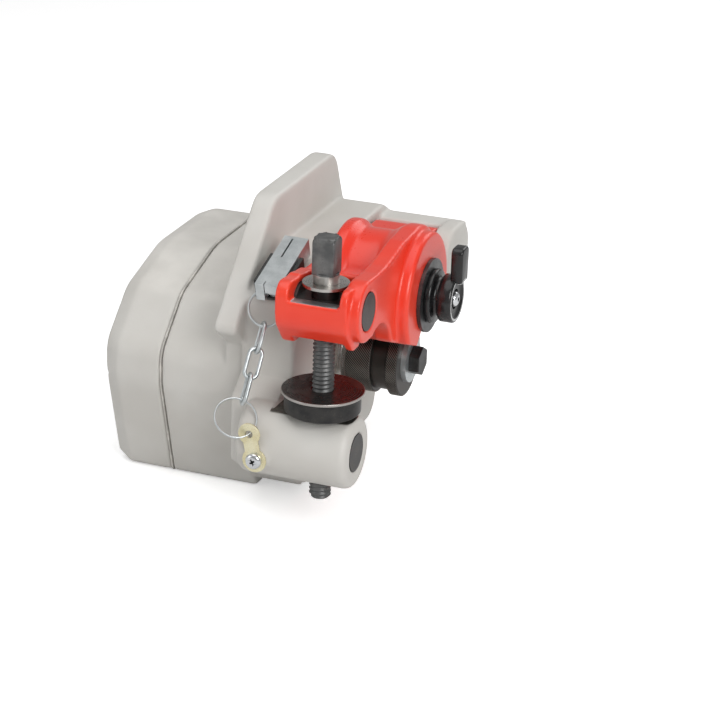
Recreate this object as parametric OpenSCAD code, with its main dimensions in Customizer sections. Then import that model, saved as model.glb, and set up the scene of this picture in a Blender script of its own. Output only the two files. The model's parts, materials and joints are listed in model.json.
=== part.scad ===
// Pipe roll groover head: a gear case drives a knurled roll inside the pipe,
// and a hinged arm, pulled down by a feed screw, presses the groove roll on the
// pipe from outside. Millimetres. X runs along the drive shaft, away from the
// gear case. Y runs to the rear. Z is up. The origin is on the drive axis, in
// the plane where the pipe's end meets the stop flange.

/* [Rolls] */
// Radius of the drive roll's two lands
drive_roll_r = 23; // [20:0.5:26]
// Length of the drive roll from the pipe stop to its outer end
drive_roll_l = 32; // [28:1:36]
// Radius of the stop flange that the pipe's end runs against
stop_flange_r = 31; // [28:0.5:33]
// Thickness of the stop flange
stop_flange_t = 7; // [5:0.5:8]
// Pipe wall that the rolls are closed on at rest
pipe_wall = 5.5; // [4.5:0.5:7]
// Radius of the groove roll's lands
groove_roll_r = 24.1; // [22:0.1:26]
// Width of the groove roll
groove_roll_w = 31; // [29:0.5:32]
// Height of the groove roll's nose above its lands
nose_h = 2; // [1.5:0.1:2.6]
// Width of the nose, and so of the rolled groove
nose_w = 8.7; // [6:0.1:10]
// Distance from the pipe stop to the near side of the nose
seat_w = 15.9; // [12:0.1:17]
// Lean of the line between the rolls towards the front, in degrees
rolls_lean = 19.5; // [16:0.5:22]
// Radius of the groove roll's shaft
roll_shaft_r = 9; // [8:0.5:10]

/* [Arm] */
// Distance from the groove roll's axis to the feed screw
screw_reach = 84.4; // [80:0.5:90]
// Height of the upper trunnion above the groove roll's axis
screw_rise = 17.4; // [15:0.5:20]
// Distance from the groove roll's axis back to the arm's pivot
pivot_reach = 59.6; // [57:0.5:64]
// Height of the arm's pivot above the groove roll's axis
pivot_rise = 5.4; // [3:0.5:8]
// Place of the arm's left face along the drive axis
arm_left = -7.5; // [-8:0.1:-7.2]
// Thickness of the left cheek
left_cheek_t = 7.8; // [7:0.1:8.2]
// Thickness of the right cheek in front of the roll boss
right_cheek_t = 11; // [9:0.5:13]
// Width of the window between the cheeks
window_w = 30; // [27:0.5:31]
// Radius of the arm's round front
front_r = 18; // [17:0.5:20]
// Radius of the hood over the groove roll
hood_r = 40.5; // [38:0.5:42]
// Radius of the roll boss on the right cheek
boss_r = 37.5; // [34:0.5:38]
// Height of the roll boss above the cheek's face
boss_h = 7; // [5:0.5:9]
// Radius of the arm's tail around the pivot
tail_r = 14.5; // [13.5:0.5:16]
// Radius of the arch cut out behind the arm's front
arch_r = 22; // [19:0.5:23]

/* [Feed screw] */
// Distance between the upper and the lower trunnion at rest
trunnion_span = 86.5; // [82:0.5:92]
// Radius of both trunnions
trunnion_r = 11; // [9.5:0.5:12]
// Outside radius of the feed screw's thread
screw_r = 6.35; // [5.5:0.05:7]
// Width over the flats of the square head
square_w = 13.2; // [11:0.1:14]
// Height of the square head
square_h = 21.5; // [18:0.5:26]
// Height of the bright neck under the head
neck_h = 5; // [3:0.5:7]
// Length of the screw's end below the lower trunnion's axis
screw_tail = 31; // [26:1:36]
// Radius of the depth stop's thin plate
stop_plate_r = 24; // [21:0.5:26]
// Thickness of the depth stop's thin plate
stop_plate_t = 1.6; // [1.2:0.1:2.5]
// Radius of the depth stop's nut
stop_nut_r = 22; // [20:0.5:24]
// Height of the depth stop's nut
stop_nut_h = 13.6; // [11:0.2:16]

/* [Housing] */
// Length of the gear case from the flange to the cover's seam
case_l = 41; // [38:1:48]
// Length of the gear cover behind the seam
cover_l = 38; // [34:1:44]
// Half the width of the gear case
case_half_w = 80.5; // [78:0.5:86]
// Height of the drive axis above the base
axis_h = 72.5; // [68:0.5:80]
// Height of the gear case's roof above the drive axis
roof_h = 54; // [52:0.5:60]
// Thickness of the tall flange between gear case and head
flange_t = 14; // [10:0.5:18]
// Height of the tall flange above the drive axis
flange_h = 104; // [98:1:112]
// Reach of the flange's front corner in front of the drive axis
flange_reach = 101; // [96:0.5:106]
// Length of the head from the flange to its right face
head_l = 30.5; // [29:0.5:34]
// Gap between the head's right face and the stop flange's back
head_gap = 2.5; // [1.5:0.5:4]
// Reach of the head's front wall in front of the drive axis
head_reach = 85; // [82:0.5:88]
// Radius of the front lug that holds the lower trunnion
lug_r = 21.5; // [20:0.1:23]
// Reach of the front lug along the drive axis, from the pipe stop
lug_end = 37; // [34:0.5:40]
// Thickness of the pivot's right ear
ear_t = 12; // [10:0.5:14]
// Radius of the pivot's ears
ear_r = 17; // [15.5:0.5:18]
// Radius of the arm's pivot shaft
pivot_r = 8; // [7:0.5:9]

/* [Gears] */
// Gear module
gear_module = 2.5; // [2.4:0.05:2.6]
// Teeth on the drive gear
gear_teeth = 32; // [30:1:33]
// Teeth on the input pinion
pinion_teeth = 12; // [11:1:13]
// Width of the drive gear
gear_w = 22; // [16:1:24]
// Direction of the pinion from the drive axis, in degrees below the horizontal
pinion_below = 25; // [20:1:30]
// Width over the flats of the input square
input_w = 12.7; // [11:0.1:14]
// Length of the input square outside the cover
input_l = 22; // [16:1:26]

/* [Gauge and chain] */
// Length of the depth gauge
gauge_l = 48; // [42:1:50]
// Width of the depth gauge
gauge_w = 15; // [13:0.5:16]
// Height of the depth gauge's tall leaf
gauge_h = 11.4; // [10:0.2:12]
// Slope of the gauge and its seat, rising to the rear, in degrees
gauge_slope = 17.5; // [16:0.5:19]
// Radius of the chain's wire
wire_r = 1.15; // [1:0.05:1.3]
// Length of a chain link over its ends
link_l = 20; // [19:0.5:21]
// Width of a chain link over its sides
link_w = 10; // [9.5:0.5:11]

/* [Base bolts] */
// Distance between the tapped holes along the drive axis
base_bolt_x = 28; // [24:1:30]
// Distance between the tapped holes across the drive axis
base_bolt_y = 90; // [80:1:96]
// Radius of a tapped hole
base_hole_r = 4.25; // [3.5:0.25:5]
// Depth of a tapped hole
base_hole_l = 16; // [12:1:16]

/* [Hidden] */
$fn = 64;

// Shared clearances and overrun
// How far a cut runs past the face that it leaves
over = 1;
// Radial clearance of a shaft in its bore
run_fit = 0.03;
// Clearance between parts that move past each other
free_gap = 0.4;
// Radial gap round the feed screw where its linkage is opened
screw_play = 0.5;
// Depth that a cast root runs into the body that carries it
root = 2;
// Radius of a cast edge
edge_r = 3;

// Places worked out from the driving dimensions
// Axis of the groove roll
rolls_gap = drive_roll_r + pipe_wall + groove_roll_r;
roll_y = -rolls_gap * sin(rolls_lean);
roll_z = rolls_gap * cos(rolls_lean);
// Axes of the pivot and the trunnions
pivot_y = roll_y + pivot_reach;
pivot_z = roll_z + pivot_rise;
screw_y = roll_y - screw_reach;
upper_z = roll_z + screw_rise;
lower_z = upper_z - trunnion_span;
// Stations along the drive axis
head_x = -stop_flange_t - head_gap;
flange_x1 = head_x - head_l;
flange_x0 = flange_x1 - flange_t;
seam_x = flange_x0 - case_l;
window_x0 = arm_left + left_cheek_t;
window_x1 = window_x0 + window_w;
cheek_x = window_x1 + right_cheek_t;
boss_x = cheek_x + boss_h;
screw_x = (window_x0 + window_x1) / 2;

// A unit vector
function unit(v) = v / norm(v);
// Points of an arc in a plane
function arc(c, r, a0, a1, n) = [for (i = [0:n]) c + r * [cos(a0 + (a1 - a0) * i / n),
    sin(a0 + (a1 - a0) * i / n)]];
// An angle brought between -180 and 180 degrees
function turn(a) = a > 180 ? a - 360 : a < -180 ? a + 360 : a;
// One corner of an outline, rounded with an arc that touches both its sides
function corner(p, q, s, r, n) =
    let (u = unit(p - q), w = unit(s - q), half = acos(u * w) / 2,
        c = q + unit(u + w) * r / sin(half),
        v0 = q + u * r / tan(half) - c,
        v1 = q + w * r / tan(half) - c,
        a0 = atan2(v0[1], v0[0]),
        a1 = a0 + turn(atan2(v1[1], v1[0]) - a0))
    arc(c, r, a0, a1, n);
// An outline with every corner rounded; each entry is [across, up, radius]
function rounded(pts, n = 6) =
    let (m = len(pts), at = function (i) [pts[i][0], pts[i][1]])
    [for (i = [0:m - 1]) each corner(at((i + m - 1) % m), at(i), at((i + 1) % m), pts[i][2], n)];

// A flat outline across the drive axis, drawn out from x0 to x1
module along_x(x0, x1) {
    translate([x0, 0, 0]) rotate([90, 0, 90]) linear_extrude(x1 - x0) children();
}
// A round bar or hole along the drive axis
module rod(x0, x1, r, y = 0, z = 0) {
    translate([x0, y, z]) rotate([0, 90, 0]) cylinder(h = x1 - x0, r = r);
}
// A round part turned about a line along the drive axis; points are [x, radius]
module turned(pts, y = 0, z = 0) {
    translate([0, y, z]) rotate([0, 90, 0]) rotate_extrude()
        polygon([for (p = pts) [p[1], p[0]]]);
}
// A ring along the drive axis
module ring(x0, x1, r0, r1, y = 0, z = 0) {
    turned([[x0, r0], [x1, r0], [x1, r1], [x0, r1]], y, z);
}

// Gear case, flange and head
// Narrowing of the case from its widest line to its base
case_draft = 19;
// Depth of the widest line's lower end below the drive axis
case_waist = 8;
// Fall of the roof in front, and how far in front of the axis it is reached
roof_fall = 14;
roof_fall_y = 50;
// Height of the front shoulder above the drive axis
shoulder_h = 12;
// Corner radii of the case
base_edge_r = 4;
waist_r = 30;
shoulder_r = 18;
brow_r = 25;
roof_r = 60;
case_low = case_half_w - case_draft;
case_outline = rounded([[-case_half_w, -case_waist, waist_r], [-case_low, -axis_h, base_edge_r],
    [case_low, -axis_h, base_edge_r], [case_half_w, -case_waist, waist_r],
    [case_half_w, roof_h, shoulder_r], [0, roof_h, roof_r],
    [-roof_fall_y, roof_h - roof_fall, brow_r], [-case_half_w, shoulder_h, shoulder_r]]);

// Height of the flange's overhanging front lip, its radius and its underside's rise
lip_h = 40;
lip_r = 5;
lip_under = 14;
// Where the flange's crown turns down, in front and at the rear
crown_front = 40;
crown_rear = 62;
crown_r = 16;
flange_outline = rounded([[-case_half_w, -case_waist, waist_r], [-case_low, -axis_h, base_edge_r],
    [case_low, -axis_h, base_edge_r], [case_half_w, -case_waist, waist_r],
    [case_half_w, flange_h - lip_h, crown_r], [crown_rear, flange_h, crown_r],
    [-crown_front, flange_h, crown_r], [-flange_reach, lip_h, lip_r],
    [-case_half_w, lip_h - lip_under, edge_r]]);

// Height of the gauge's seat at the head's front wall
seat_drop = 9.4;
seat_h = upper_z - seat_drop;
// Depth of the front wall's lower end below the drive axis
head_low = 10;
head_roof_h = pivot_z + ear_r;
// Distance from the front wall to where the seat meets the roof
seat_run = (head_roof_h - seat_h) / tan(gauge_slope);
// How far the head's underside lies above the base, and its corner radius
head_lift = 5;
head_low_r = 14;
// Corner radius of the head's roof
head_roof_r = 12;
head_outline = rounded([[-head_reach, -head_low, shoulder_r],
    [-case_low, head_lift - axis_h, head_low_r], [case_low, head_lift - axis_h, head_low_r],
    [case_half_w, -case_waist, waist_r], [case_half_w, head_roof_h, crown_r],
    [seat_run - head_reach, head_roof_h, head_roof_r], [-head_reach, seat_h, edge_r]]);

// Drive shaft, its gear and its bearings
shaft_r = 19;
gear_seat_r = 17;
tail_journal_r = 12.5;
roll_seat_r = 11;
gear_collar_r = 22;
gear_collar_t = 4;
roller_r = 1.5;
cup_t = 1.5;
cup_lip = 0.5;
cup_lip_t = 1;
front_bearing_l = 22;
rear_bearing_l = 18;
seal_l = 6;
seal_t = 7;
seal_lip = 0.05;
gear_side_gap = 6;
pocket_l = 33;
pocket_gap = 3.5;
// How much narrower and shallower the bridge between the round pockets is
bridge_step = 2;
gasket_t = 0.8;
cover_pocket_l = 6;
pocket_x = seam_x + pocket_l;
gear_x1 = pocket_x - gear_side_gap;
gear_x0 = gear_x1 - gear_w;
cover_x = seam_x - gasket_t;
back_x = cover_x - cover_l;
cover_pocket_x = cover_x - cover_pocket_l;
// Gap between a bearing's end and what is beside it
bearing_gap = 1;
front_bearing_x1 = head_x - seal_l - bearing_gap;
front_bearing_x0 = front_bearing_x1 - front_bearing_l;
rear_bearing_x1 = cover_pocket_x - bearing_gap;
rear_bearing_x0 = rear_bearing_x1 - rear_bearing_l;
// Outside radius of a needle bearing on a shaft
function cup_r(r) = r + 2 * roller_r + 2 * run_fit + cup_t;

// Gear pair
pitch_r = gear_module * gear_teeth / 2;
pinion_pitch_r = gear_module * pinion_teeth / 2;
centres = pitch_r + pinion_pitch_r;
pinion_y = centres * cos(pinion_below);
pinion_z = -centres * sin(pinion_below);
// Pressure angle of the teeth, and the play between two flanks
pressure_a = 20;
tooth_play = 0.3;
// Tooth depth below the pitch circle in modules
dedendum_share = 1.25;
flank_steps = 5;
pinion_shaft_r = 9;
pinion_bearing_l = 12;
input_x = back_x - bearing_gap;

// Involute of a base circle at an angle, seen along the gear's axis
function involute(rb, t) = rb * [cos(t) + t * PI / 180 * sin(t), sin(t) - t * PI / 180 * cos(t)];
// Roll angle at which the involute reaches a radius
function roll_at(rb, r) = r <= rb ? 0 : sqrt(pow(r / rb, 2) - 1) * 180 / PI;
function spun(p, a) = [p[0] * cos(a) - p[1] * sin(a), p[0] * sin(a) + p[1] * cos(a)];
// Outline of a spur gear; start is the direction of one tooth's middle
function gear_outline(teeth, start) =
    let (rp = gear_module * teeth / 2, rb = rp * cos(pressure_a), ra = rp + gear_module,
        rf = rp - dedendum_share * gear_module,
        tp = roll_at(rb, rp), pt = involute(rb, tp),
        half = 90 / teeth - tooth_play / rp * 90 / PI + atan2(pt[1], pt[0]),
        flank = [for (i = [0:flank_steps]) involute(rb, roll_at(rb, ra) * i / flank_steps)])
    [for (k = [0:teeth - 1]) let (a = start + k * 360 / teeth) each concat(
        [spun([min(rf, rb), 0], a - half)],
        [for (p = flank) spun(p, a - half)],
        [for (i = [flank_steps:-1:0]) spun([flank[i][0], -flank[i][1]], a + half)],
        [spun([min(rf, rb), 0], a + half)])];

// Two overlapping round pockets from x0 to x1, and a straight bridge between
// them from b0 to b1, narrower than the pinion's pocket
module pocket(x0, x1, b0, b1) {
    r0 = pitch_r + gear_module + pocket_gap;
    r1 = pinion_pitch_r + gear_module + pocket_gap;
    rod(x0, x1, r0);
    rod(x0, x1, r1, pinion_y, pinion_z);
    rotate([-pinion_below, 0, 0]) translate([b0, 0, bridge_step - r1])
        cube([b1 - b0, centres, 2 * (r1 - bridge_step)]);
}

// Needle bearing: a drawn cup and its rollers
module needle_bearing(x0, x1, r, y = 0, z = 0) {
    track = r + 2 * roller_r + 2 * run_fit;
    lip = r + cup_lip;
    turned([[x0, lip], [x0, track + cup_t], [x1, track + cup_t], [x1, lip],
        [x1 - cup_lip_t, lip], [x1 - cup_lip_t, track], [x0 + cup_lip_t, track],
        [x0 + cup_lip_t, lip]], y, z);
    pitch = r + roller_r + run_fit;
    count = floor(PI * pitch / (roller_r + 2 * run_fit));
    for (i = [0:count - 1])
        rod(x0 + cup_lip_t + run_fit, x1 - cup_lip_t - run_fit, roller_r,
            y + pitch * cos(i * 360 / count), z + pitch * sin(i * 360 / count));
}
// Socket-head screw along the drive axis, head towards -X
module socket_screw(x, l, r, y, z) {
    difference() {
        union() {
            rod(x, x + l, r, y, z);
            rod(x - 2 * r, x, head_share * r, y, z);
        }
        translate([x - 2 * r - over, y, z]) rotate([0, 90, 0])
            cylinder(h = r + over, r = r, $fn = 6);
    }
}
// Socket head's radius as a share of the shank's
head_share = 1.66;

// Cover screws: places round the gear pocket
cover_screw_r = 3;
cover_screw_l = 40;
cover_screw_gap = 0.3;
cover_head_depth = 10;
edge_in = 12;
cover_screw_at = [[-case_half_w + edge_in, -case_waist], [-case_low + edge_in, -axis_h + edge_in],
    [0, -axis_h + edge_in], [case_low - edge_in, -axis_h + edge_in],
    [case_half_w - edge_in, case_waist], [case_half_w - edge_in, roof_h - shoulder_r],
    [roof_fall_y - shoulder_r, roof_h - edge_in], [-roof_fall_y, edge_in * 2]];
cover_screw_x = back_x + cover_head_depth;

// Front lug and lower trunnion
lug_round = 4;
lug_x0 = flange_x1 - root;
// How far to the right of the flange the round of the lug begins
lug_run = 9.5;
lug_left = flange_x1 + lug_run;
trunnion_in = 0.3;
trunnion_x1 = lug_end - trunnion_in;
trunnion_x0 = 2 * screw_x - trunnion_x1;
// Height of the milled flat above the lower trunnion's axis, and its left end
flat_h = 20.2;
flat_z = lower_z + flat_h;
flat_run = 4;
flat_x0 = head_x - flat_run;
// Clearance round the stop's plate, and of the screw in the lug, where it leans
plate_clear = 1.2;
lean_clear = 2;
spot_r = stop_plate_r + plate_clear;
slot_r = screw_r + lean_clear;
web_top = 12;
// Pivot ear and the bridge behind the arm's tail
tail_w = 40.5;
tail_x1 = arm_left + tail_w;
ear_gap = 1;
ear_x0 = tail_x1 + ear_gap;
ear_x1 = ear_x0 + ear_t;
// Wall left outside the pivot shaft's end in the ear
ear_wall = 3;
pivot_x1 = ear_x1 - ear_wall - free_gap;
bridge_gap = 1.5;
bridge_y = pivot_y + tail_r + bridge_gap;
ear_z0 = pivot_z - ear_r;
bridge_r = 10;
// How far the bridge lies inside the head's and the ear's faces
bridge_in = 1;
// How far it stays inside the rounded crown
crown_in = 5.3;
bridge_rear = case_half_w - crown_in;
bridge_top = head_roof_h - crown_in;
ear_rear = pivot_y + ear_r + bridge_r;
bridge_low = ear_z0 + bridge_in;
ear_outline = concat([[pivot_y, head_roof_h], [pivot_y, ear_z0]],
    arc([ear_rear - bridge_r, ear_z0 + bridge_r], bridge_r, -90, 0, 6),
    arc([ear_rear - crown_r, head_roof_h - crown_r], crown_r, 0, 90, 6));
// Bracket's pad on the front of the lug: its place from the flange and below
// the trunnion's axis, its height and its radius
pad_along = 23.7;
pad_drop = 4.8;
pad_h = 1.6;
pad_r = 7.2;
pad_x = flange_x1 + pad_along;
pad_z = lower_z - pad_drop;
pad_y = screw_y - lug_r - pad_h;
// Small screws: radius, depth of the hole, and the gap left at its bottom
small_r = 2.5;
small_l = 9;
tip_gap = 1;
plug_x = (seam_x + flange_x0) / 2;
plug_y = case_half_w / 2;
plug_r = 7;
plug_l = 8;
// Base bolt pattern's middle
base_in = 6;
base_x = flange_x0 - base_in;

module main_housing() color([0.78, 0.77, 0.74]) difference() {
    union() {
        along_x(seam_x, flange_x0 + root) polygon(case_outline);
        along_x(flange_x0, flange_x1) polygon(flange_outline);
        along_x(flange_x1 - root, head_x) polygon(head_outline);
        turned(concat([[lug_left, 0]],
            arc([lug_left + lug_round, lug_r - lug_round], lug_round, 180, 90, 6),
            arc([lug_end - lug_round, lug_r - lug_round], lug_round, 90, 0, 6),
            [[lug_end, 0]]), screw_y, lower_z);
        along_x(lug_x0, head_x) polygon([[screw_y + root, lower_z + lug_r - root],
            [screw_y + root, lower_z - lug_r + root], [-case_low - root, root + head_lift - axis_h],
            [-case_low, 0], [-head_reach + root, web_top]]);
        translate([head_x - root, bridge_y, bridge_low])
            cube([ear_x1 - root - head_x, bridge_rear - bridge_y, bridge_top - bridge_low]);
        along_x(ear_x0, ear_x1) polygon(ear_outline);
        rod(ear_x0, ear_x1, ear_r, pivot_y, pivot_z);
        translate([pad_x, screw_y, pad_z]) rotate([90, 0, 0])
            cylinder(h = screw_y - pad_y, r = pad_r);
    }
    pocket(seam_x - over, pocket_x, seam_x - over, pocket_x - bridge_step);
    rod(pocket_x - over, head_x + over, shaft_r + over);
    rod(front_bearing_x0, head_x + over, cup_r(shaft_r));
    rod(head_x - seal_l - over, head_x + over, shaft_r + seal_t);
    rod(pocket_x - over, pocket_x + pinion_bearing_l, cup_r(pinion_shaft_r), pinion_y, pinion_z);
    rod(flange_x1, head_x + over, pivot_r + run_fit, pivot_y, pivot_z);
    rod(ear_x0 - over, ear_x1 - ear_wall, pivot_r + run_fit, pivot_y, pivot_z);
    translate([(ear_x0 + ear_x1) / 2, pivot_y, ear_z0 - over])
        cylinder(h = ear_r, r = small_r + run_fit);
    rod(trunnion_x0 - over, lug_end + over, trunnion_r + run_fit, screw_y, lower_z);
    translate([screw_x, screw_y, lower_z - lug_r - over])
        cylinder(h = 2 * lug_r + 2 * over, r = slot_r);
    translate([screw_x, screw_y, flat_z]) cylinder(h = lug_r, r = spot_r);
    translate([flat_x0, screw_y - lug_r, flat_z])
        cube([lug_end + over - flat_x0, lug_r - screw_y - head_reach, lug_r]);
    for (p = cover_screw_at)
        rod(seam_x - over, cover_screw_x + cover_screw_l + over, cover_screw_r + run_fit, p[0], p[1]);
    for (sx = [-1, 1], sy = [-1, 1])
        translate([base_x + sx * base_bolt_x / 2, sy * base_bolt_y / 2, -axis_h - over])
            cylinder(h = base_hole_l + over, r = base_hole_r);
    translate([plug_x, plug_y, roof_h - plug_l]) cylinder(h = plug_l + over, r = plug_r + run_fit);
    translate([pad_x, pad_y - over, pad_z]) rotate([-90, 0, 0])
        cylinder(h = small_l + over, r = small_r + run_fit);
    on_seat() for (y = clip_screw_at) translate([gauge_w / 2, y, -small_l])
        cylinder(h = small_l + over, r = small_r + run_fit);
}

// Gear cover
cover_straight = 28;
cover_end_share = 0.93;
slice_t = 0.1;
hub_h = 3;
drive_hub_r = 30;
input_hub_r = 18;
input_seal_r = 15;
module gear_cover() color([0.76, 0.75, 0.72]) difference() {
    union() {
        along_x(cover_x - cover_straight, cover_x) polygon(case_outline);
        hull() {
            along_x(cover_x - cover_straight, cover_x - cover_straight + slice_t) polygon(case_outline);
            along_x(back_x, back_x + slice_t) polygon([for (p = case_outline) p * cover_end_share]);
        }
        rod(back_x - hub_h, back_x + over, drive_hub_r);
        rod(back_x - hub_h, back_x + over, input_hub_r, pinion_y, pinion_z);
    }
    pocket(cover_pocket_x, cover_x + over, cover_pocket_x + bridge_step, cover_x + over);
    rod(rear_bearing_x0 - bearing_gap, cover_x, cup_r(tail_journal_r));
    rod(rear_bearing_x0 - bearing_gap, cover_x, cup_r(pinion_shaft_r), pinion_y, pinion_z);
    rod(back_x - hub_h - over, cover_x, pinion_shaft_r + over, pinion_y, pinion_z);
    rod(back_x - hub_h - over, back_x - hub_h + seal_l, input_seal_r, pinion_y, pinion_z);
    for (p = cover_screw_at) {
        rod(back_x - over, cover_x + over, cover_screw_r + cover_screw_gap, p[0], p[1]);
        rod(back_x - hub_h, cover_screw_x, head_share * cover_screw_r + over / 2, p[0], p[1]);
    }
}
module cover_gasket() color([0.15, 0.15, 0.14]) difference() {
    along_x(cover_x, seam_x) polygon(case_outline);
    pocket(cover_x - over, seam_x + over, cover_x - over, seam_x + over);
    for (p = cover_screw_at)
        rod(cover_x - over, seam_x + over, cover_screw_r + cover_screw_gap, p[0], p[1]);
}
module cover_screws() color([0.25, 0.25, 0.26])
    for (p = cover_screw_at) socket_screw(cover_screw_x, cover_screw_l, cover_screw_r, p[0], p[1]);
module filler_plug() color([0.3, 0.3, 0.31]) difference() {
    union() {
        translate([plug_x, plug_y, roof_h - plug_l]) cylinder(h = plug_l, r = plug_r);
        translate([plug_x, plug_y, roof_h]) cylinder(h = plug_l / 2, r = plug_r * head_share, $fn = 6);
    }
    translate([plug_x, plug_y, roof_h + over]) cylinder(h = plug_l, r = plug_r / 2, $fn = 6);
}

// Drive shaft and what turns with it
shaft_chamfer = 1;
bolt_r = 5;
bolt_l = 30;
bolt_head_h = 6.5;
bolt_head_r = 9.2;
washer_t = 3;
washer_r = 14;
key_w = 6;
key_in = 3.5;
key_out = 2.5;
roll_key_x = 3;
roll_key_l = 26;
gear_ring_t = 2;
nose_play = 0.6;
roll_groove = nose_h + nose_play;
roll_nib = 0.5;
shaft_x0 = rear_bearing_x0 - bearing_gap / 2;
shaft_x1 = drive_roll_l - roll_nib;
module drive_shaft() color([0.55, 0.55, 0.56]) difference() {
    turned([[shaft_x0, 0], [shaft_x0, tail_journal_r - shaft_chamfer],
        [shaft_x0 + shaft_chamfer, tail_journal_r], [cover_pocket_x, tail_journal_r],
        [cover_pocket_x, gear_seat_r], [gear_x1, gear_seat_r],
        [gear_x1, gear_collar_r], [gear_x1 + gear_collar_t, gear_collar_r],
        [gear_x1 + gear_collar_t, shaft_r], [-stop_flange_t, shaft_r],
        [-stop_flange_t, roll_seat_r], [shaft_x1 - shaft_chamfer, roll_seat_r],
        [shaft_x1, roll_seat_r - shaft_chamfer], [shaft_x1, 0]]);
    rod(shaft_x1 - bolt_l, shaft_x1 + over, bolt_r + run_fit);
    translate([roll_key_x, -key_w / 2, roll_seat_r - key_in]) cube([roll_key_l, key_w, roll_seat_r]);
    translate([gear_x0 + key_in, -key_w / 2, gear_seat_r - key_in])
        cube([gear_w - 2 * key_in, key_w, gear_seat_r]);
}
module drive_gear() color([0.5, 0.5, 0.52]) difference() {
    along_x(gear_x0, gear_x1) polygon(gear_outline(gear_teeth, -pinion_below));
    rod(gear_x0 - over, gear_x1 + over, gear_seat_r + run_fit);
    translate([gear_x0 - over, -key_w / 2, 0])
        cube([gear_w + 2 * over, key_w, gear_seat_r + key_out]);
}
module gear_key() color([0.6, 0.6, 0.6])
    translate([gear_x0 + key_in, -key_w / 2 + run_fit, gear_seat_r - key_in])
        cube([gear_w - 2 * key_in, key_w - 2 * run_fit, key_in + key_out - run_fit]);
module gear_ring() color([0.3, 0.3, 0.32])
    ring(gear_x0 - gear_ring_t, gear_x0, gear_seat_r, gear_collar_r);
module front_bearing() color([0.7, 0.7, 0.72])
    needle_bearing(front_bearing_x0, front_bearing_x1, shaft_r);
module rear_bearing() color([0.7, 0.7, 0.72])
    needle_bearing(rear_bearing_x0, rear_bearing_x1, tail_journal_r);
module front_seal() color([0.12, 0.12, 0.12])
    ring(head_x - seal_l, head_x, shaft_r + seal_lip, shaft_r + seal_t);
module drive_roll() color([0.35, 0.34, 0.34]) difference() {
    turned([[-stop_flange_t, roll_seat_r + run_fit], [-stop_flange_t, stop_flange_r - shaft_chamfer],
        [-stop_flange_t + shaft_chamfer, stop_flange_r], [-shaft_chamfer, stop_flange_r],
        [0, stop_flange_r - shaft_chamfer], [0, drive_roll_r],
        [seat_w - nose_play, drive_roll_r], [seat_w - nose_play, drive_roll_r - roll_groove],
        [seat_w + nose_w + nose_play, drive_roll_r - roll_groove],
        [seat_w + nose_w + nose_play, drive_roll_r], [drive_roll_l - shaft_chamfer, drive_roll_r],
        [drive_roll_l, drive_roll_r - shaft_chamfer], [drive_roll_l, roll_seat_r + run_fit]]);
    translate([-stop_flange_t - over, -key_w / 2, 0])
        cube([drive_roll_l + stop_flange_t + 2 * over, key_w, roll_seat_r + key_out]);
}
module roll_key() color([0.6, 0.6, 0.6])
    translate([roll_key_x, -key_w / 2 + run_fit, roll_seat_r - key_in])
        cube([roll_key_l, key_w - 2 * run_fit, key_in + key_out - run_fit]);
module end_washer() color([0.6, 0.6, 0.62])
    ring(drive_roll_l, drive_roll_l + washer_t, bolt_r + run_fit, washer_r);
module end_bolt() color([0.3, 0.3, 0.31]) {
    rod(shaft_x1 - bolt_l + over, drive_roll_l + washer_t, bolt_r);
    translate([drive_roll_l + washer_t, 0, 0]) rotate([0, 90, 0])
        cylinder(h = bolt_head_h, r = bolt_head_r, $fn = 6);
}

// Input pinion
module input_pinion() color([0.5, 0.5, 0.52]) {
    translate([0, pinion_y, pinion_z]) {
        along_x(gear_x0, gear_x1)
            polygon(gear_outline(pinion_teeth, 180 - pinion_below - 180 / pinion_teeth));
        rod(gear_x1 - over, pocket_x + pinion_bearing_l - over / 2, pinion_shaft_r);
        rod(input_x - hub_h, gear_x0 + over, pinion_shaft_r);
        translate([input_x - hub_h - input_l, -input_w / 2, -input_w / 2])
            cube([input_l + over, input_w, input_w]);
    }
}
module pinion_front_bearing() color([0.7, 0.7, 0.72])
    needle_bearing(pocket_x, pocket_x + pinion_bearing_l, pinion_shaft_r, pinion_y, pinion_z);
module pinion_rear_bearing() color([0.7, 0.7, 0.72])
    needle_bearing(rear_bearing_x0, rear_bearing_x1, pinion_shaft_r, pinion_y, pinion_z);
module input_seal() color([0.12, 0.12, 0.12])
    ring(back_x - hub_h, back_x - hub_h + seal_l, pinion_shaft_r + seal_lip, input_seal_r,
        pinion_y, pinion_z);

// Arm pivot
bush_t = 2.5;
bush_l = 14;
module pivot_shaft() color([0.35, 0.35, 0.36])
    turned([[flange_x1 + over, 0], [flange_x1 + over, pivot_r - shaft_chamfer],
        [flange_x1 + over + shaft_chamfer, pivot_r], [pivot_x1 - shaft_chamfer, pivot_r],
        [pivot_x1, pivot_r - shaft_chamfer], [pivot_x1, 0]], pivot_y, pivot_z);
module pivot_bushes() color([0.72, 0.55, 0.3]) {
    ring(arm_left, arm_left + bush_l, pivot_r + run_fit, pivot_r + bush_t, pivot_y, pivot_z);
    ring(tail_x1 - bush_l, tail_x1, pivot_r + run_fit, pivot_r + bush_t, pivot_y, pivot_z);
}
module pivot_set_screw() color([0.2, 0.2, 0.2]) difference() {
    translate([(ear_x0 + ear_x1) / 2, pivot_y, ear_z0 + over])
        cylinder(h = ear_r - pivot_r - over - run_fit, r = small_r);
    translate([(ear_x0 + ear_x1) / 2, pivot_y, ear_z0])
        cylinder(h = small_r + over, r = small_r / 2, $fn = 6);
}

// Arm: outlines across the drive axis
// The cheeks' front: depth below the upper trunnion, height above it and reach
skirt = 23;
front_rise = 17;
front_reach = 20.5;
front_low = 7;
front_low_y = 7;
front_top_r = 8;
front_side_r = 14;
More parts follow.
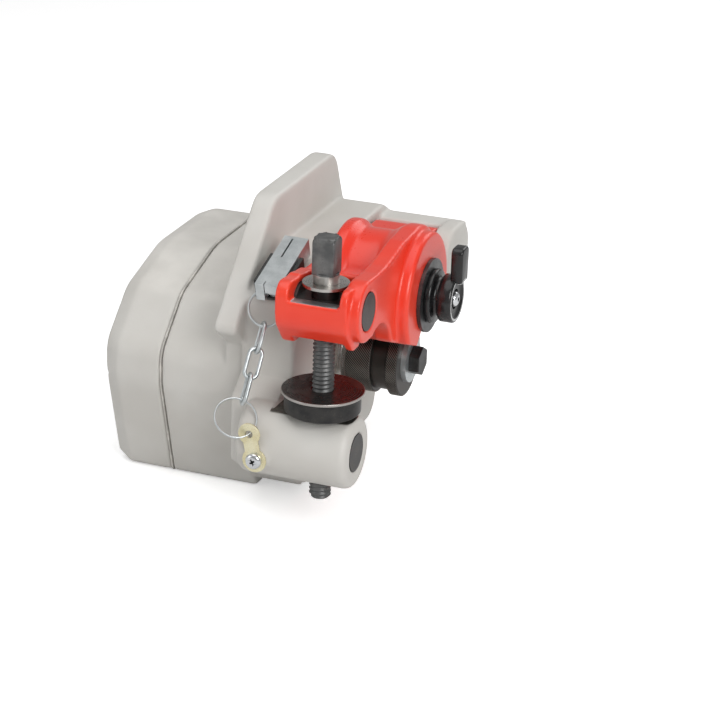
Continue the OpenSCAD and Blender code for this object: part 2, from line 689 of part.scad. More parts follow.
// Depth of the arm's floor over the pipe, measured down from the roll's axis
floor_drop = 13.6;
arm_floor = roll_z - floor_drop;
// The toe in front of the roll: its depth, reach and the height of its front
toe_drop = 27;
toe_y = 15.4;
toe_reach = 40.4;
toe_rise = 10;
// Dip of the left cheek behind the front boss
dip_y = 27;
// Top edge of the right cheek: places behind the upper trunnion's axis and above it
cheek_sweep = [[16, 17.2], [28, 17.5], [39.5, 18.9], [50, 20.9]];
// Where the sweep reaches the hood, in front of the roll's axis and below the crown
sweep_lead = 24.5;
sweep_drop = 0.7;
crown_drop = 0.2;
hood_front_a = 28;
hood_rear_a = 48;
// Arch's centre, from the upper trunnion
arch_y = 19;
arch_drop = 37;
// Front bar's height above the trunnion's axis, and the rear web's thickness
bar_h = 6.4;
bar_gap = 0.6;
window_l = 26.6;
side_gap = 1.2;
roll_x0 = window_x0 + side_gap;
roll_x1 = roll_x0 + groove_roll_w;
cavity_x1 = roll_x1 + side_gap;
cavity_gap = 2;
nose_r = groove_roll_r + nose_h;
chamfer = 1.5;
left_shoulder = 8;
// Saddle of the hood over the roll: its depth, the width of its slopes and the
// left crest's drop below the right one
saddle = 5.5;
slope_w = 7;
crest_drop = 1.5;
front_boss_h = 6;
saddle_r = hood_r - saddle;
hood_front = [roll_y - saddle_r * sin(hood_front_a), roll_z + saddle_r * cos(hood_front_a)];
toe_front = [roll_y - toe_reach, roll_z - toe_drop + toe_rise];
toe_back = [roll_y - toe_y, roll_z - toe_drop];
floor_front = [roll_y - toe_y / 2, arm_floor - toe_rise / 2];
floor_back = [roll_y + toe_y, arm_floor];
cheek_top = [screw_y, upper_z + front_r];
// Where the left cheek and the tail run into the hood's smaller shoulder
left_hood = hood_r - left_shoulder - root;
left_dip_drop = 7.5;
front_outline = rounded([[screw_y + arch_y, upper_z - skirt, root / 2],
    [screw_y + arch_y, upper_z + front_rise - left_dip_drop / 2, root / 2],
    [screw_y - front_reach, upper_z + front_rise, front_top_r],
    [screw_y - front_reach, upper_z - front_low, front_side_r],
    [screw_y - front_low_y, upper_z - skirt, front_top_r]]);
left_outline = [[screw_y, upper_z + front_rise - over],
    [screw_y + dip_y, upper_z + front_r - left_dip_drop],
    [roll_y - left_hood * sin(hood_front_a), roll_z + left_hood * cos(hood_front_a)],
    [roll_y, roll_z], floor_front, toe_back, toe_front,
    [screw_y + arch_y, upper_z - front_r], [screw_y, upper_z - front_r]];
raised_outline = concat([cheek_top], [for (p = cheek_sweep) [screw_y + p[0], upper_z + p[1]]],
    [[roll_y - sweep_lead, roll_z + hood_r - sweep_drop], [roll_y, roll_z + hood_r - crown_drop],
    [roll_y + hood_r / 2, roll_z], floor_back, floor_front, toe_back, toe_front,
    [screw_y + arch_y, upper_z - front_r], [screw_y, upper_z - front_r]]);
keep_outline = [[roll_y - hood_r - over, roll_z + hood_r + over],
    [roll_y + hood_r + over, roll_z + hood_r + over], [roll_y + hood_r + over, arm_floor],
    floor_back, floor_front, toe_back, toe_front, [roll_y - hood_r - over, toe_front[1]]];
tail_outline = [[roll_y + left_hood * sin(hood_rear_a), roll_z + left_hood * cos(hood_rear_a)],
    [pivot_y, pivot_z + tail_r], [pivot_y, pivot_z - tail_r],
    [floor_back[0], arm_floor], [roll_y, roll_z]];
web_back = screw_y - trunnion_r - bar_gap + window_l;
// The web's low front, and the ramp from it up to the hood
web_flat_l = 18;
ramp_l = 15;
ramp_top_l = 6;
ramp_top_drop = 5;
web_outline = [[web_back, upper_z - front_r], [web_back, upper_z - bar_h],
    [web_back + web_flat_l, upper_z - bar_h / 2], [hood_front[0] - ramp_l, upper_z],
    [hood_front[0] - ramp_top_l, hood_front[1] - ramp_top_drop], hood_front,
    [roll_y, roll_z + hood_r / 2],
    [roll_y - hood_r + edge_r, roll_z - edge_r]];
module upper_arm() color([0.91, 0.22, 0.13]) difference() {
    union() {
        along_x(arm_left, window_x0) polygon(left_outline);
        along_x(window_x1, cheek_x) polygon(raised_outline);
        along_x(arm_left, cheek_x - front_boss_h) polygon(front_outline);
        rod(window_x1, cheek_x, front_r, screw_y, upper_z);
        along_x(window_x0 - over, window_x1 + over) polygon(web_outline);
        intersection() {
            turned([[arm_left, 0], [arm_left, hood_r - left_shoulder],
                [window_x0 - left_cheek_t / 2, hood_r - crest_drop],
                [window_x0 + root, hood_r - crest_drop], [window_x0 + slope_w, saddle_r],
                [window_x1 - slope_w, saddle_r], [window_x1 + root, hood_r],
                [cheek_x - chamfer, hood_r], [cheek_x, hood_r - chamfer], [cheek_x, boss_r],
                [boss_x - chamfer, boss_r], [boss_x, boss_r - chamfer], [boss_x, 0]], roll_y, roll_z);
            along_x(arm_left - over, boss_x + over) polygon(keep_outline);
        }
        rod(arm_left, tail_x1, tail_r, pivot_y, pivot_z);
        along_x(arm_left, tail_x1) polygon(tail_outline);
    }
    rod(window_x0, cavity_x1, nose_r + cavity_gap, roll_y, roll_z);
    translate([window_x0, screw_y - trunnion_r - bar_gap, upper_z - skirt - over])
        cube([window_w, window_l, skirt + 2 * front_r]);
    translate([window_x0, screw_y - front_reach - over, upper_z + bar_h])
        cube([window_w, front_reach, front_r]);
    rod(arm_left - over, boss_x + over, arch_r, screw_y + arch_y, upper_z - arch_drop);
    rod(arm_left - over, cheek_x + over, trunnion_r + run_fit, screw_y, upper_z);
    rod(arm_left - over, boss_x + over, roll_shaft_r + run_fit, roll_y, roll_z);
    rod(arm_left - over, tail_x1 + over, pivot_r + bush_t + run_fit, pivot_y, pivot_z);
}

// Trunnions and feed screw
face_in = 0.2;
seat_top = 5.2;
seat_low = 7;
neck_fit = 0.08;
washer_gap = 0.1;
sleeve_h = 7;
sleeve_r = 8;
top_washer_t = 1.7;
top_washer_r = 13.4;
neck_r = 7.45;
collar_h = 7;
collar_r = 10;
collar_gap = 0.3;
pin_r = 1.5;
pin_in = 1;
screw_chamfer = 1.4;
crown_chamfer = 1.2;
sleeve_z = upper_z + seat_top;
washer_z = sleeve_z + sleeve_h;
neck_z = washer_z + top_washer_t + washer_gap;
head_z = neck_z + neck_h;
collar_z = upper_z - seat_low - collar_gap - collar_h;
screw_z0 = lower_z - screw_tail;
module upper_trunnion() color([0.28, 0.28, 0.29]) difference() {
    rod(arm_left + face_in, cheek_x - face_in, trunnion_r, screw_y, upper_z);
    translate([screw_x, screw_y, upper_z - trunnion_r - over])
        cylinder(h = 2 * trunnion_r + 2 * over, r = screw_r + neck_fit);
    translate([window_x0 + over, screw_y - trunnion_r - over, sleeve_z])
        cube([window_w - 2 * over, 2 * trunnion_r + 2 * over, trunnion_r]);
    translate([window_x0 + over, screw_y - trunnion_r - over, upper_z - seat_low - trunnion_r])
        cube([window_w - 2 * over, 2 * trunnion_r + 2 * over, trunnion_r]);
}
module lower_trunnion() color([0.28, 0.28, 0.29]) difference() {
    rod(trunnion_x0, trunnion_x1, trunnion_r, screw_y, lower_z);
    translate([screw_x, screw_y, lower_z - trunnion_r - over])
        cylinder(h = 2 * trunnion_r + 2 * over, r = screw_r + screw_play);
}
module on_screw(z) { translate([screw_x, screw_y, z]) children(); }
module collar(z, h, r0, r1) {
    on_screw(z) rotate_extrude() translate([r0, 0]) square([r1 - r0, h]);
}
module feed_screw() color([0.17, 0.17, 0.18]) {
    difference() {
        on_screw(0) rotate_extrude() polygon([[0, screw_z0], [screw_r - screw_chamfer, screw_z0],
            [screw_r, screw_z0 + screw_chamfer], [screw_r, neck_z], [neck_r, neck_z],
            [neck_r, head_z + over], [0, head_z + over]]);
        rod(screw_x - collar_r - over, screw_x + collar_r + over, pin_r, screw_y, collar_z + collar_h / 2);
    }
    on_screw(head_z) intersection() {
        translate([-square_w / 2, -square_w / 2, 0]) cube([square_w, square_w, square_h]);
        rotate_extrude() polygon([[0, 0], [square_w, 0], [square_w, square_h - square_w + neck_r],
            [neck_r - crown_chamfer / 2, square_h], [0, square_h]]);
    }
}
module thrust_washer() color([0.72, 0.74, 0.76])
    collar(washer_z, top_washer_t, screw_r + neck_fit, top_washer_r);
module thrust_sleeve() color([0.3, 0.3, 0.31])
    collar(sleeve_z, sleeve_h, screw_r + neck_fit, sleeve_r);
module lift_collar() color([0.3, 0.3, 0.31]) difference() {
    collar(collar_z, collar_h, screw_r + run_fit, collar_r);
    rod(screw_x - collar_r - over, screw_x + collar_r + over, pin_r, screw_y, collar_z + collar_h / 2);
}
module lift_pin() color([0.5, 0.5, 0.5])
    rod(screw_x - collar_r + pin_in, screw_x + collar_r - pin_in, pin_r, screw_y, collar_z + collar_h / 2);

// Depth stop
stop_z = flat_z + free_gap;
nut_chamfer = 0.8;
nut_hub_h = 2.4;
nut_hub_r = 13;
module stop_nut() color([0.08, 0.08, 0.08]) on_screw(stop_z) rotate_extrude()
    polygon([[screw_r + neck_fit, 0], [nut_hub_r, 0], [nut_hub_r, nut_hub_h],
        [stop_nut_r - nut_chamfer, nut_hub_h], [stop_nut_r, nut_hub_h + nut_chamfer],
        [stop_nut_r, stop_nut_h - nut_chamfer], [stop_nut_r - nut_chamfer, stop_nut_h],
        [screw_r + neck_fit, stop_nut_h]]);
module stop_plate() color([0.2, 0.19, 0.19])
    collar(stop_z + stop_nut_h, stop_plate_t, screw_r + neck_fit, stop_plate_r);

// Groove roll and its shaft
flank = 0.7;
side_washer_t = 0.7;
side_washer_r = 16;
module groove_roll() color([0.4, 0.4, 0.41]) turned([[roll_x0, cup_r(roll_shaft_r)],
    [roll_x0, groove_roll_r - chamfer], [roll_x0 + chamfer, groove_roll_r],
    [seat_w - flank, groove_roll_r], [seat_w, nose_r - flank / 2], [seat_w + flank / 2, nose_r],
    [seat_w + nose_w - flank / 2, nose_r], [seat_w + nose_w, nose_r - flank / 2],
    [seat_w + nose_w + flank, groove_roll_r], [roll_x1 - chamfer, groove_roll_r],
    [roll_x1, groove_roll_r - chamfer], [roll_x1, cup_r(roll_shaft_r)]], roll_y, roll_z);
module groove_roll_bearing() color([0.7, 0.7, 0.72])
    needle_bearing(roll_x0 + free_gap, roll_x1 - free_gap, roll_shaft_r, roll_y, roll_z);
module side_washers() color([0.72, 0.55, 0.3]) {
    ring(window_x0, window_x0 + side_washer_t, roll_shaft_r + run_fit, side_washer_r, roll_y, roll_z);
    ring(cavity_x1 - side_washer_t, cavity_x1, roll_shaft_r + run_fit, side_washer_r, roll_y, roll_z);
}
disc_r = 22;
disc_t = 2.2;
disc_x = boss_x + face_in;
spigot_r = 6;
knob_x = disc_x + disc_t + face_in;
knob_foot_r = 16.2;
knob_foot_t = 3.5;
knob_neck_r = 11.5;
knob_neck_l = 3.5;
knob_head_r = 14.3;
knob_head_l = 8.5;
knob_end = knob_x + knob_foot_t + knob_neck_l + knob_head_l;
module roll_shaft() color([0.5, 0.5, 0.5])
    turned([[arm_left, 0], [arm_left, roll_shaft_r - shaft_chamfer],
        [arm_left + shaft_chamfer, roll_shaft_r], [disc_x, roll_shaft_r], [disc_x, disc_r],
        [disc_x + disc_t, disc_r], [disc_x + disc_t, spigot_r],
        [knob_end - chamfer, spigot_r], [knob_end - chamfer, 0]], roll_y, roll_z);
// Wing of the knob: its inner and outer reach, its width there, its thickness,
// and how far it begins inside the knob's end
lever_l0 = 11;
lever_l = 32.5;
lever_w0 = 12;
lever_w1 = 13;
lever_t = 7.2;
lever_in = 3.4;
lever_r = 3.5;
lever_x = knob_end - lever_in;
screw_head_r = 4.6;
screw_head_t = 1.4;
module lever_knob() color([0.07, 0.07, 0.07]) difference() {
    union() {
        turned([[knob_x, 0], [knob_x, knob_foot_r - chamfer / 2], [knob_x + chamfer / 2, knob_foot_r],
            [knob_x + knob_foot_t, knob_foot_r], [knob_x + knob_foot_t, knob_neck_r],
            [knob_x + knob_foot_t + knob_neck_l, knob_neck_r],
            [knob_x + knob_foot_t + knob_neck_l, knob_head_r],
            [knob_end - chamfer, knob_head_r], [knob_end, knob_head_r - chamfer],
            [knob_end, 0]], roll_y, roll_z);
        translate([0, roll_y, roll_z]) along_x(lever_x, lever_x + lever_t)
            polygon(rounded([[-lever_w0 / 2, lever_l0, chamfer], [lever_w0 / 2, lever_l0, chamfer],
                [lever_w1 / 2, lever_l, lever_r], [-lever_w1 / 2, lever_l, lever_r]]));
    }
    rod(knob_x - over, knob_end - chamfer, spigot_r + run_fit, roll_y, roll_z);
    rod(knob_x, knob_end + over, screw_head_r + face_in, roll_y, roll_z);
}
module knob_screw() color([0.75, 0.75, 0.76])
    rod(knob_end - chamfer, knob_end - chamfer + screw_head_t, screw_head_r, roll_y, roll_z);

// Depth gauge, its clip and the chain that keeps it
// Distance of the gauge from the head's right face
gauge_in = 6.5;
gauge_x = head_x - gauge_in - gauge_w;
gauge_out = 4.4;
clip_t = 2.4;
clip_base = 1.4;
clip_y0 = 0.5;
clip_l = 27;
clip_h = 12.6;
leaf_w = 5.3;
slot_w = 1;
slot_l = 18.5;
slot_y = 23;
// Notch for the ring at the right of the leaf: how far it reaches behind the
// seat's front edge, and its height
notch_back = 1.6;
notch_h = 5.4;
eye_r = 2.6;
eye_y = -0.2;
eye_z = 4.2;
clip_screw_in = 6;
// Height of a clip screw's head
cap_t = 1;
clip_screw_at = [clip_y0 + clip_screw_in, clip_y0 + clip_l - clip_screw_in];
module on_seat() {
    translate([gauge_x, -head_reach, seat_h]) rotate([gauge_slope, 0, 0]) children();
}
module gauge_clip() color([0.1, 0.1, 0.1]) on_seat() difference() {
    translate([-clip_t - free_gap, clip_y0, 0])
        cube([gauge_w + 2 * clip_t + 2 * free_gap, clip_l, clip_h]);
    translate([-free_gap, clip_y0 - over, clip_base])
        cube([gauge_w + 2 * free_gap, clip_l + 2 * over, clip_h]);
    for (y = clip_screw_at) translate([gauge_w / 2, y, -over])
        cylinder(h = clip_base + 2 * over, r = small_r + run_fit);
}
module clip_screws() color([0.6, 0.6, 0.62]) on_seat() for (y = clip_screw_at) {
    translate([gauge_w / 2, y, tip_gap - small_l])
        cylinder(h = small_l - tip_gap + clip_base, r = small_r);
    translate([gauge_w / 2, y, clip_base]) cylinder(h = cap_t, r = 2 * small_r);
}
gauge_z = clip_base + cap_t + free_gap;
module depth_gauge() color([0.72, 0.75, 0.76]) on_seat() difference() {
    translate([0, -gauge_out, gauge_z]) cube([gauge_w, gauge_l, gauge_h]);
    translate([leaf_w, slot_y, gauge_z - over])
        cube([slot_w, slot_l, gauge_h + 2 * over]);
    translate([leaf_w, -gauge_out - over, gauge_z + gauge_h / 2]) cube([slot_w / 2, gauge_out, gauge_h]);
    translate([leaf_w, -gauge_out - over, gauge_z - over])
        cube([gauge_w, gauge_out + over + notch_back, notch_h + over]);
    translate([-over, eye_y, gauge_z + eye_z]) rotate([0, 90, 0]) cylinder(h = leaf_w + 2 * over, r = eye_r);
}

// Rings and chain, set out from the gauge's eye and the bracket's eye
ring_wire = 0.7;
top_ring_r = 10.5;
split_ring_r = 12.2;
split_wire = 0.85;
link_gap = 0.3;
// Forward tilt of the gauge's ring and its shift along the drive axis
ring_tilt = 20;
ring_shift = 3.3;
link_spin = -45;
cg = cos(gauge_slope);
sg = sin(gauge_slope);
eye_at = [gauge_x + leaf_w / 2, -head_reach + eye_y * cg - (gauge_z + eye_z) * sg,
    seat_h + eye_y * sg + (gauge_z + eye_z) * cg];
ring_down = [0, -sin(ring_tilt), -cos(ring_tilt)];
// How far the ring's wire falls away between its lowest place in the eye and the leaf's left face
ring_lift = top_ring_r - sqrt(pow(top_ring_r, 2) - pow(leaf_w / 2 + ring_shift, 2));
ring_at = eye_at + [ring_shift, 0, ring_wire + link_gap - eye_r]
    + (top_ring_r - ring_lift) * ring_down;
chain_top = ring_at + top_ring_r * ring_down;
plate_t = 1.2;
plate_y = pad_y - plate_t;
plate_low_r = 7.2;
plate_high_r = 6.6;
plate_rise = 15.6;
plate_lean = -3.4;
plate_eye_r = 2.2;
plate_neck = 4.6;
bracket_eye = [pad_x + plate_lean, pad_y - plate_t / 2, pad_z + plate_rise];
inner_l = link_l - 4 * wire_r;
chain_l = 3 * inner_l - 4 * link_gap - ring_wire - split_wire;
// Where the chain's lower end hangs, from the bracket's eye: to the left, to
// the rear and above it
hang_left = 9.6;
hang_back = 7.2;
hang_up = 5.5;
aim = bracket_eye + [-hang_left, hang_back, hang_up];
chain_dir = unit(aim - chain_top);
chain_end = chain_top + chain_l * chain_dir;
chain_lean = atan2(norm([chain_dir[0], chain_dir[1]]), -chain_dir[2]);
chain_az = atan2(chain_dir[0], -chain_dir[1]);
// Distance of a link's middle from the ring's wire, along the chain
link_mid = inner_l / 2 - ring_wire - link_gap;
link_pitch = inner_l - link_gap;
module torus(r, wire) { rotate_extrude() translate([r, 0]) circle(r = wire, $fn = 24); }
module link() {
    bend = link_w / 2 - wire_r;
    side = link_l - link_w;
    for (s = [-1, 1]) {
        translate([s * bend, 0, -side / 2]) cylinder(h = side, r = wire_r, $fn = 24);
        translate([0, 0, s * side / 2]) rotate([s * 90, 0, 0])
            rotate_extrude(angle = 180) translate([bend, 0]) circle(r = wire_r, $fn = 24);
    }
}
module hung_link(i, spin) {
    translate(chain_top + (link_mid + i * link_pitch) * chain_dir)
        rotate([-chain_lean, 0, chain_az]) rotate([0, 0, spin]) link();
}
module gauge_ring() color([0.75, 0.76, 0.77])
    translate(ring_at) rotate([90 - ring_tilt, 0, 0]) torus(top_ring_r, ring_wire);
module top_link() color([0.75, 0.76, 0.77]) hung_link(0, link_spin);
module middle_link() color([0.75, 0.76, 0.77]) hung_link(1, -link_spin);
module bottom_link() color([0.75, 0.76, 0.77]) hung_link(2, link_spin);
// Split ring through the last link and the bracket's eye
chord = bracket_eye - chain_end;
// Direction from the chord to the ring's middle, along the three axes
ring_lean_shares = [-0.77, -0.1, 0.4];
ring_side = unit(ring_lean_shares - unit(chord) * (ring_lean_shares * unit(chord)));
split_at = chain_end + chord / 2
    + ring_side * sqrt(max(pow(split_ring_r, 2) - pow(norm(chord) / 2, 2), 0));
split_n = unit(cross(chord, ring_side));
module split_ring() color([0.72, 0.73, 0.75])
    translate(split_at) rotate([0, acos(split_n[2]), atan2(split_n[1], split_n[0])])
        torus(split_ring_r, split_wire);
module chain_bracket() color([0.82, 0.72, 0.42]) difference() {
    union() {
        translate([pad_x, pad_y, pad_z]) rotate([90, 0, 0]) cylinder(h = plate_t, r = plate_low_r);
        translate([bracket_eye[0], pad_y, bracket_eye[2]]) rotate([90, 0, 0])
            cylinder(h = plate_t, r = plate_high_r);
        translate([pad_x, pad_y, pad_z]) rotate([90, 0, 0]) linear_extrude(plate_t)
            polygon([[-plate_neck, 0], [plate_neck, 0],
                [plate_lean + plate_neck, plate_rise], [plate_lean - plate_neck, plate_rise]]);
    }
    translate([pad_x, pad_y + over, pad_z]) rotate([90, 0, 0])
        cylinder(h = plate_t + 2 * over, r = small_r + run_fit);
    translate([bracket_eye[0], pad_y + over, bracket_eye[2]]) rotate([90, 0, 0])
        cylinder(h = plate_t + 2 * over, r = plate_eye_r);
}
pan_r = 4.9;
pan_h = 3;
pan_top_share = 0.75;
module bracket_screw() color([0.8, 0.82, 0.84]) {
    translate([pad_x, plate_y + plate_t + small_l - tip_gap, pad_z]) rotate([90, 0, 0])
        cylinder(h = small_l + plate_t - tip_gap, r = small_r);
    translate([pad_x, plate_y, pad_z]) rotate([90, 0, 0])
        cylinder(h = pan_h, r1 = pan_r, r2 = pan_r * pan_top_share);
}

main_housing();
gear_cover();
cover_gasket();
cover_screws();
filler_plug();
drive_shaft();
drive_gear();
gear_key();
gear_ring();
front_bearing();
rear_bearing();
front_seal();
drive_roll();
roll_key();
end_washer();
end_bolt();
input_pinion();
pinion_front_bearing();
pinion_rear_bearing();
input_seal();
pivot_shaft();
pivot_bushes();
pivot_set_screw();
upper_arm();
upper_trunnion();
lower_trunnion();
feed_screw();
thrust_washer();
thrust_sleeve();
lift_collar();
lift_pin();
stop_nut();
stop_plate();
groove_roll();
groove_roll_bearing();
side_washers();
roll_shaft();
lever_knob();
knob_screw();
depth_gauge();
gauge_clip();
clip_screws();
gauge_ring();
top_link();
middle_link();
bottom_link();
split_ring();
chain_bracket();
bracket_screw();
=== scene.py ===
import json
import math

import bmesh
import bpy
import numpy as np
from mathutils import Matrix, Vector

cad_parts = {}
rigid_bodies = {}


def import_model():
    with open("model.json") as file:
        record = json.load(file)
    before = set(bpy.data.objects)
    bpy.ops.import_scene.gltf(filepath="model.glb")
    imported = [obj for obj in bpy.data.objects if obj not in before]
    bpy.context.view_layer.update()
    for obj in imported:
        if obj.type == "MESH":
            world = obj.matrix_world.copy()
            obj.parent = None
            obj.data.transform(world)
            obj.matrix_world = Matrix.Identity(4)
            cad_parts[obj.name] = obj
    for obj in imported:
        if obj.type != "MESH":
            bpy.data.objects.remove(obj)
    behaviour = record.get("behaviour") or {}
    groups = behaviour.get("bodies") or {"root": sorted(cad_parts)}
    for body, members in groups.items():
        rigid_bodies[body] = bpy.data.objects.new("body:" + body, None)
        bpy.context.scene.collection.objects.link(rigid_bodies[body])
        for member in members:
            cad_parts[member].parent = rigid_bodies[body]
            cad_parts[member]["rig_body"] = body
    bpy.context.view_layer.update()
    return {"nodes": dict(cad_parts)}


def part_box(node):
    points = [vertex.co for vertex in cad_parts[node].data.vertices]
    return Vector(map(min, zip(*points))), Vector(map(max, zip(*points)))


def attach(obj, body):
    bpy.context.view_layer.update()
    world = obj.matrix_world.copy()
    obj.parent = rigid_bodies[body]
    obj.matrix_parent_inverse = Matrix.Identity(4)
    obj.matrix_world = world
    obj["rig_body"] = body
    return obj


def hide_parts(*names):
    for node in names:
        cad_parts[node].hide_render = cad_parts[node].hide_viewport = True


for startObject in list(bpy.data.objects):
    bpy.data.objects.remove(startObject)
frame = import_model()
mm = 0.001
fullTurn = 2 * math.pi
scene = bpy.context.scene
print("frame loaded:", len(frame["nodes"]), "nodes")


def addObject(name, data):
    made = bpy.data.objects.new(name, data)
    scene.collection.objects.link(made)
    return made


# Camera: the view of the photograph
camera = {
    "azimuth": 22, "elevation": 21.3, "roll": 1, "lens": 120, "sensor": 36,
    "distance": 1459.5, "target": (24.6, 5.4, -15), "targetPixel": (398.4, 376.5),
    "axisPixel": (250, 330), "pixels": 720, "clip": (0.05, 50),
}


def placeCamera(c):
    turn, lift, roll = (math.radians(c[k]) for k in ("azimuth", "elevation", "roll"))
    back = Vector((math.sin(turn) * math.cos(lift), -math.cos(turn) * math.cos(lift), math.sin(lift)))
    level = Vector((math.cos(turn), math.sin(turn), 0))
    raised = back.cross(level)
    right = level * math.cos(roll) + raised * math.sin(roll)
    up = raised * math.cos(roll) - level * math.sin(roll)
    focal = c["lens"] / c["sensor"] * c["pixels"]
    across = (c["targetPixel"][0] - c["axisPixel"][0]) / focal * c["distance"]
    down = (c["targetPixel"][1] - c["axisPixel"][1]) / focal * c["distance"]
    place = (Vector(c["target"]) + back * c["distance"] - right * across + up * down) * mm
    data = bpy.data.cameras.new("photoCamera")
    data.lens = c["lens"]
    data.sensor_width = c["sensor"]
    data.sensor_fit = "HORIZONTAL"
    data.shift_x = (c["pixels"] / 2 - c["axisPixel"][0]) / c["pixels"]
    data.shift_y = (c["axisPixel"][1] - c["pixels"] / 2) / c["pixels"]
    data.clip_start, data.clip_end = c["clip"]
    shot = addObject("photoCamera", data)
    shot.matrix_world = Matrix((
        (right.x, up.x, back.x, place.x),
        (right.y, up.y, back.y, place.y),
        (right.z, up.z, back.z, place.z),
        (0, 0, 0, 1),
    ))
    scene.camera = shot


placeCamera(camera)
scene.view_settings.view_transform = "Standard"
print("camera placed")


# Shader maths on sockets
class Wire:
    def __init__(self, finish, socket):
        self.finish = finish
        self.socket = socket

    def sum(self, operation, other, swapped=False):
        pair = [other, self] if swapped else [self, other]
        return self.finish.node("ShaderNodeMath", {"operation": operation}, pair)

    def __add__(self, other):
        return self.sum("ADD", other)

    def __radd__(self, other):
        return self.sum("ADD", other, True)

    def __sub__(self, other):
        return self.sum("SUBTRACT", other)

    def __rsub__(self, other):
        return self.sum("SUBTRACT", other, True)

    def __mul__(self, other):
        return self.sum("MULTIPLY", other)

    def __rmul__(self, other):
        return self.sum("MULTIPLY", other, True)

    def __pow__(self, other):
        return self.sum("POWER", other)

    def __gt__(self, other):
        return self.sum("GREATER_THAN", other)

    def __lt__(self, other):
        return self.sum("LESS_THAN", other)

    def rise(self, low, high):
        # 0 below low, 1 above high, eased between them; high may be the lower one
        return self.finish.node(
            "ShaderNodeMapRange", {"interpolation_type": "SMOOTHSTEP"},
            {"Value": self, "From Min": low, "From Max": high})

    def within(self, low, high):
        # 1 between two places in millimetres, 0 elsewhere
        return (self > low * mm) * (self < high * mm)


class Finish:
    def __init__(self, name, fixed):
        self.material = bpy.data.materials.new(name)
        self.material.use_nodes = True
        self.tree = self.material.node_tree
        self.shader = self.tree.nodes["Principled BSDF"]
        for socket, value in fixed.items():
            self.shader.inputs[socket].default_value = value
        self.place = self.node("ShaderNodeTexCoord", {}, {}, "Object")

    def node(self, kind, settings, values, output=0):
        made = self.tree.nodes.new(kind)
        for key, value in settings.items():
            setattr(made, key, value)
        for key, value in values.items() if isinstance(values, dict) else enumerate(values):
            self.feed(made.inputs[key], value)
        return Wire(self, made.outputs[output])

    def feed(self, socket, value):
        if isinstance(value, Wire):
            self.tree.links.new(value.socket, socket)
        else:
            socket.default_value = value

    def set(self, socket, value):
        self.feed(self.shader.inputs[socket], value)

    def held(self, socket):
        # what already feeds a socket of the shader
        return Wire(self, self.shader.inputs[socket].links[0].from_socket)

    def noise(self, size, detail=2, rough=0.5, place=None):
        # size is the width of a patch in millimetres
        values = {"Scale": 1 / (size * mm), "Detail": detail, "Roughness": rough,
                  "Vector": place or self.place}
        return self.node("ShaderNodeTexNoise", {}, values)

    def mix(self, mask, low, high):
        return self.node("ShaderNodeMix", {"data_type": "RGBA"}, {0: mask, 6: low, 7: high}, 2)

    def parts(self, vector):
        made = self.tree.nodes.new("ShaderNodeSeparateXYZ")
        self.tree.links.new(vector.socket, made.inputs[0])
        return [Wire(self, out) for out in made.outputs]

    def vector(self, x, y, z):
        return self.node("ShaderNodeCombineXYZ", {}, [x, y, z])

    def bump(self, height, strength, depth, under=None):
        # depth is the height of the relief in millimetres
        values = {"Height": height, "Strength": strength, "Distance": depth * mm}
        if under:
            values["Normal"] = under
        return self.node("ShaderNodeBump", {}, values)

    def slope(self):
        # direction of the surface as three numbers
        return self.parts(self.node("ShaderNodeNewGeometry", {}, {}, "Normal"))

    def edges(self):
        return self.node("ShaderNodeNewGeometry", {}, {}, "Pointiness")

    def round(self, axis, centre):
        # distance from a line along an axis, in metres; centre is in millimetres
        spots = self.parts(self.place)
        across = [i for i in range(3) if i != "XYZ".index(axis)]
        first, second = (spots[i] - centre[i] * mm for i in across)
        return (first * first + second * second) ** 0.5, spots["XYZ".index(axis)]


def rgb(red, green, blue):
    # a colour as it looks on a screen, 0 to 255, made linear
    def linear(v):
        v /= 255
        return v / 12.92 if v < 0.04045 else ((v + 0.055) / 1.055) ** 2.4
    return (linear(red), linear(green), linear(blue), 1)


# Places shared by the pieces, in millimetres
rollAxis = (0, -17.558, 49.583)
pivotAxis = (0, 42.042, 54.983)
driveAxis = (0, 0, 0)
pinionAxis = (0, 49.847, -23.244)
screwAxis = (15.3, -101.958, 0)
upperTrunnionAxis = (0, -101.958, 66.983)
lowerTrunnionAxis = (0, -101.958, -19.517)


# Paint over a cast skin: soft blotches, fine grain, lighter worn edges
castSkin = {"blotch": 60, "grain": 1.6, "pit": 5, "hollow": (0.5, 0.42), "ridge": (0.53, 0.62)}


def castPaint(name, paint):
    f = Finish(name, {"Specular IOR Level": 0.45})
    blotch = f.noise(castSkin["blotch"], 3).rise(0.3, 0.7)
    grain = f.noise(castSkin["grain"], 3, 0.6)
    pit = f.noise(castSkin["pit"], 2)
    tone = f.mix(blotch, *paint["tones"])
    edge = f.edges()
    # darker in the hollows, where the pointiness is low
    tone = f.mix(edge.rise(*castSkin["hollow"]) * paint["hollowDarkening"], tone, paint["hollowTone"])
    tone = f.mix(edge.rise(*castSkin["ridge"]) * paint["wear"], tone, paint["wearTone"])
    f.set("Base Color", tone)
    f.set("Roughness", paint["rough"] + (grain - 0.5) * 0.16 + (blotch - 0.5) * 0.08)
    f.set("Normal", f.bump(grain * 0.6 + pit * 0.4, paint["bump"], paint["depth"]))
    return f


# Housing: pale grey; the flat under the depth stop milled bare, its dark tone also painted shade from
# the stop; the roof of the case painted lighter, a painted light on its up-facing slopes
housingLook = {
    "tones": (rgb(197, 194, 188), rgb(208, 206, 201)), "rough": 0.46, "bump": 0.35, "depth": 0.35,
    "hollowDarkening": 0.45, "hollowTone": rgb(150, 147, 140), "wear": 0.5, "wearTone": rgb(222, 220, 216),
    "flatLeft": -13.6, "flatBack": -80.2, "flatHeights": (-2, 2.4), "flatMetal": 0.85,
    "flatShadedTones": (rgb(84, 80, 76), rgb(112, 108, 102)),
    "roofRight": -54.8, "roofLow": 20, "roofShare": 0.85,
    "roofLitTones": (rgb(206, 203, 197), rgb(220, 217, 211)),
}


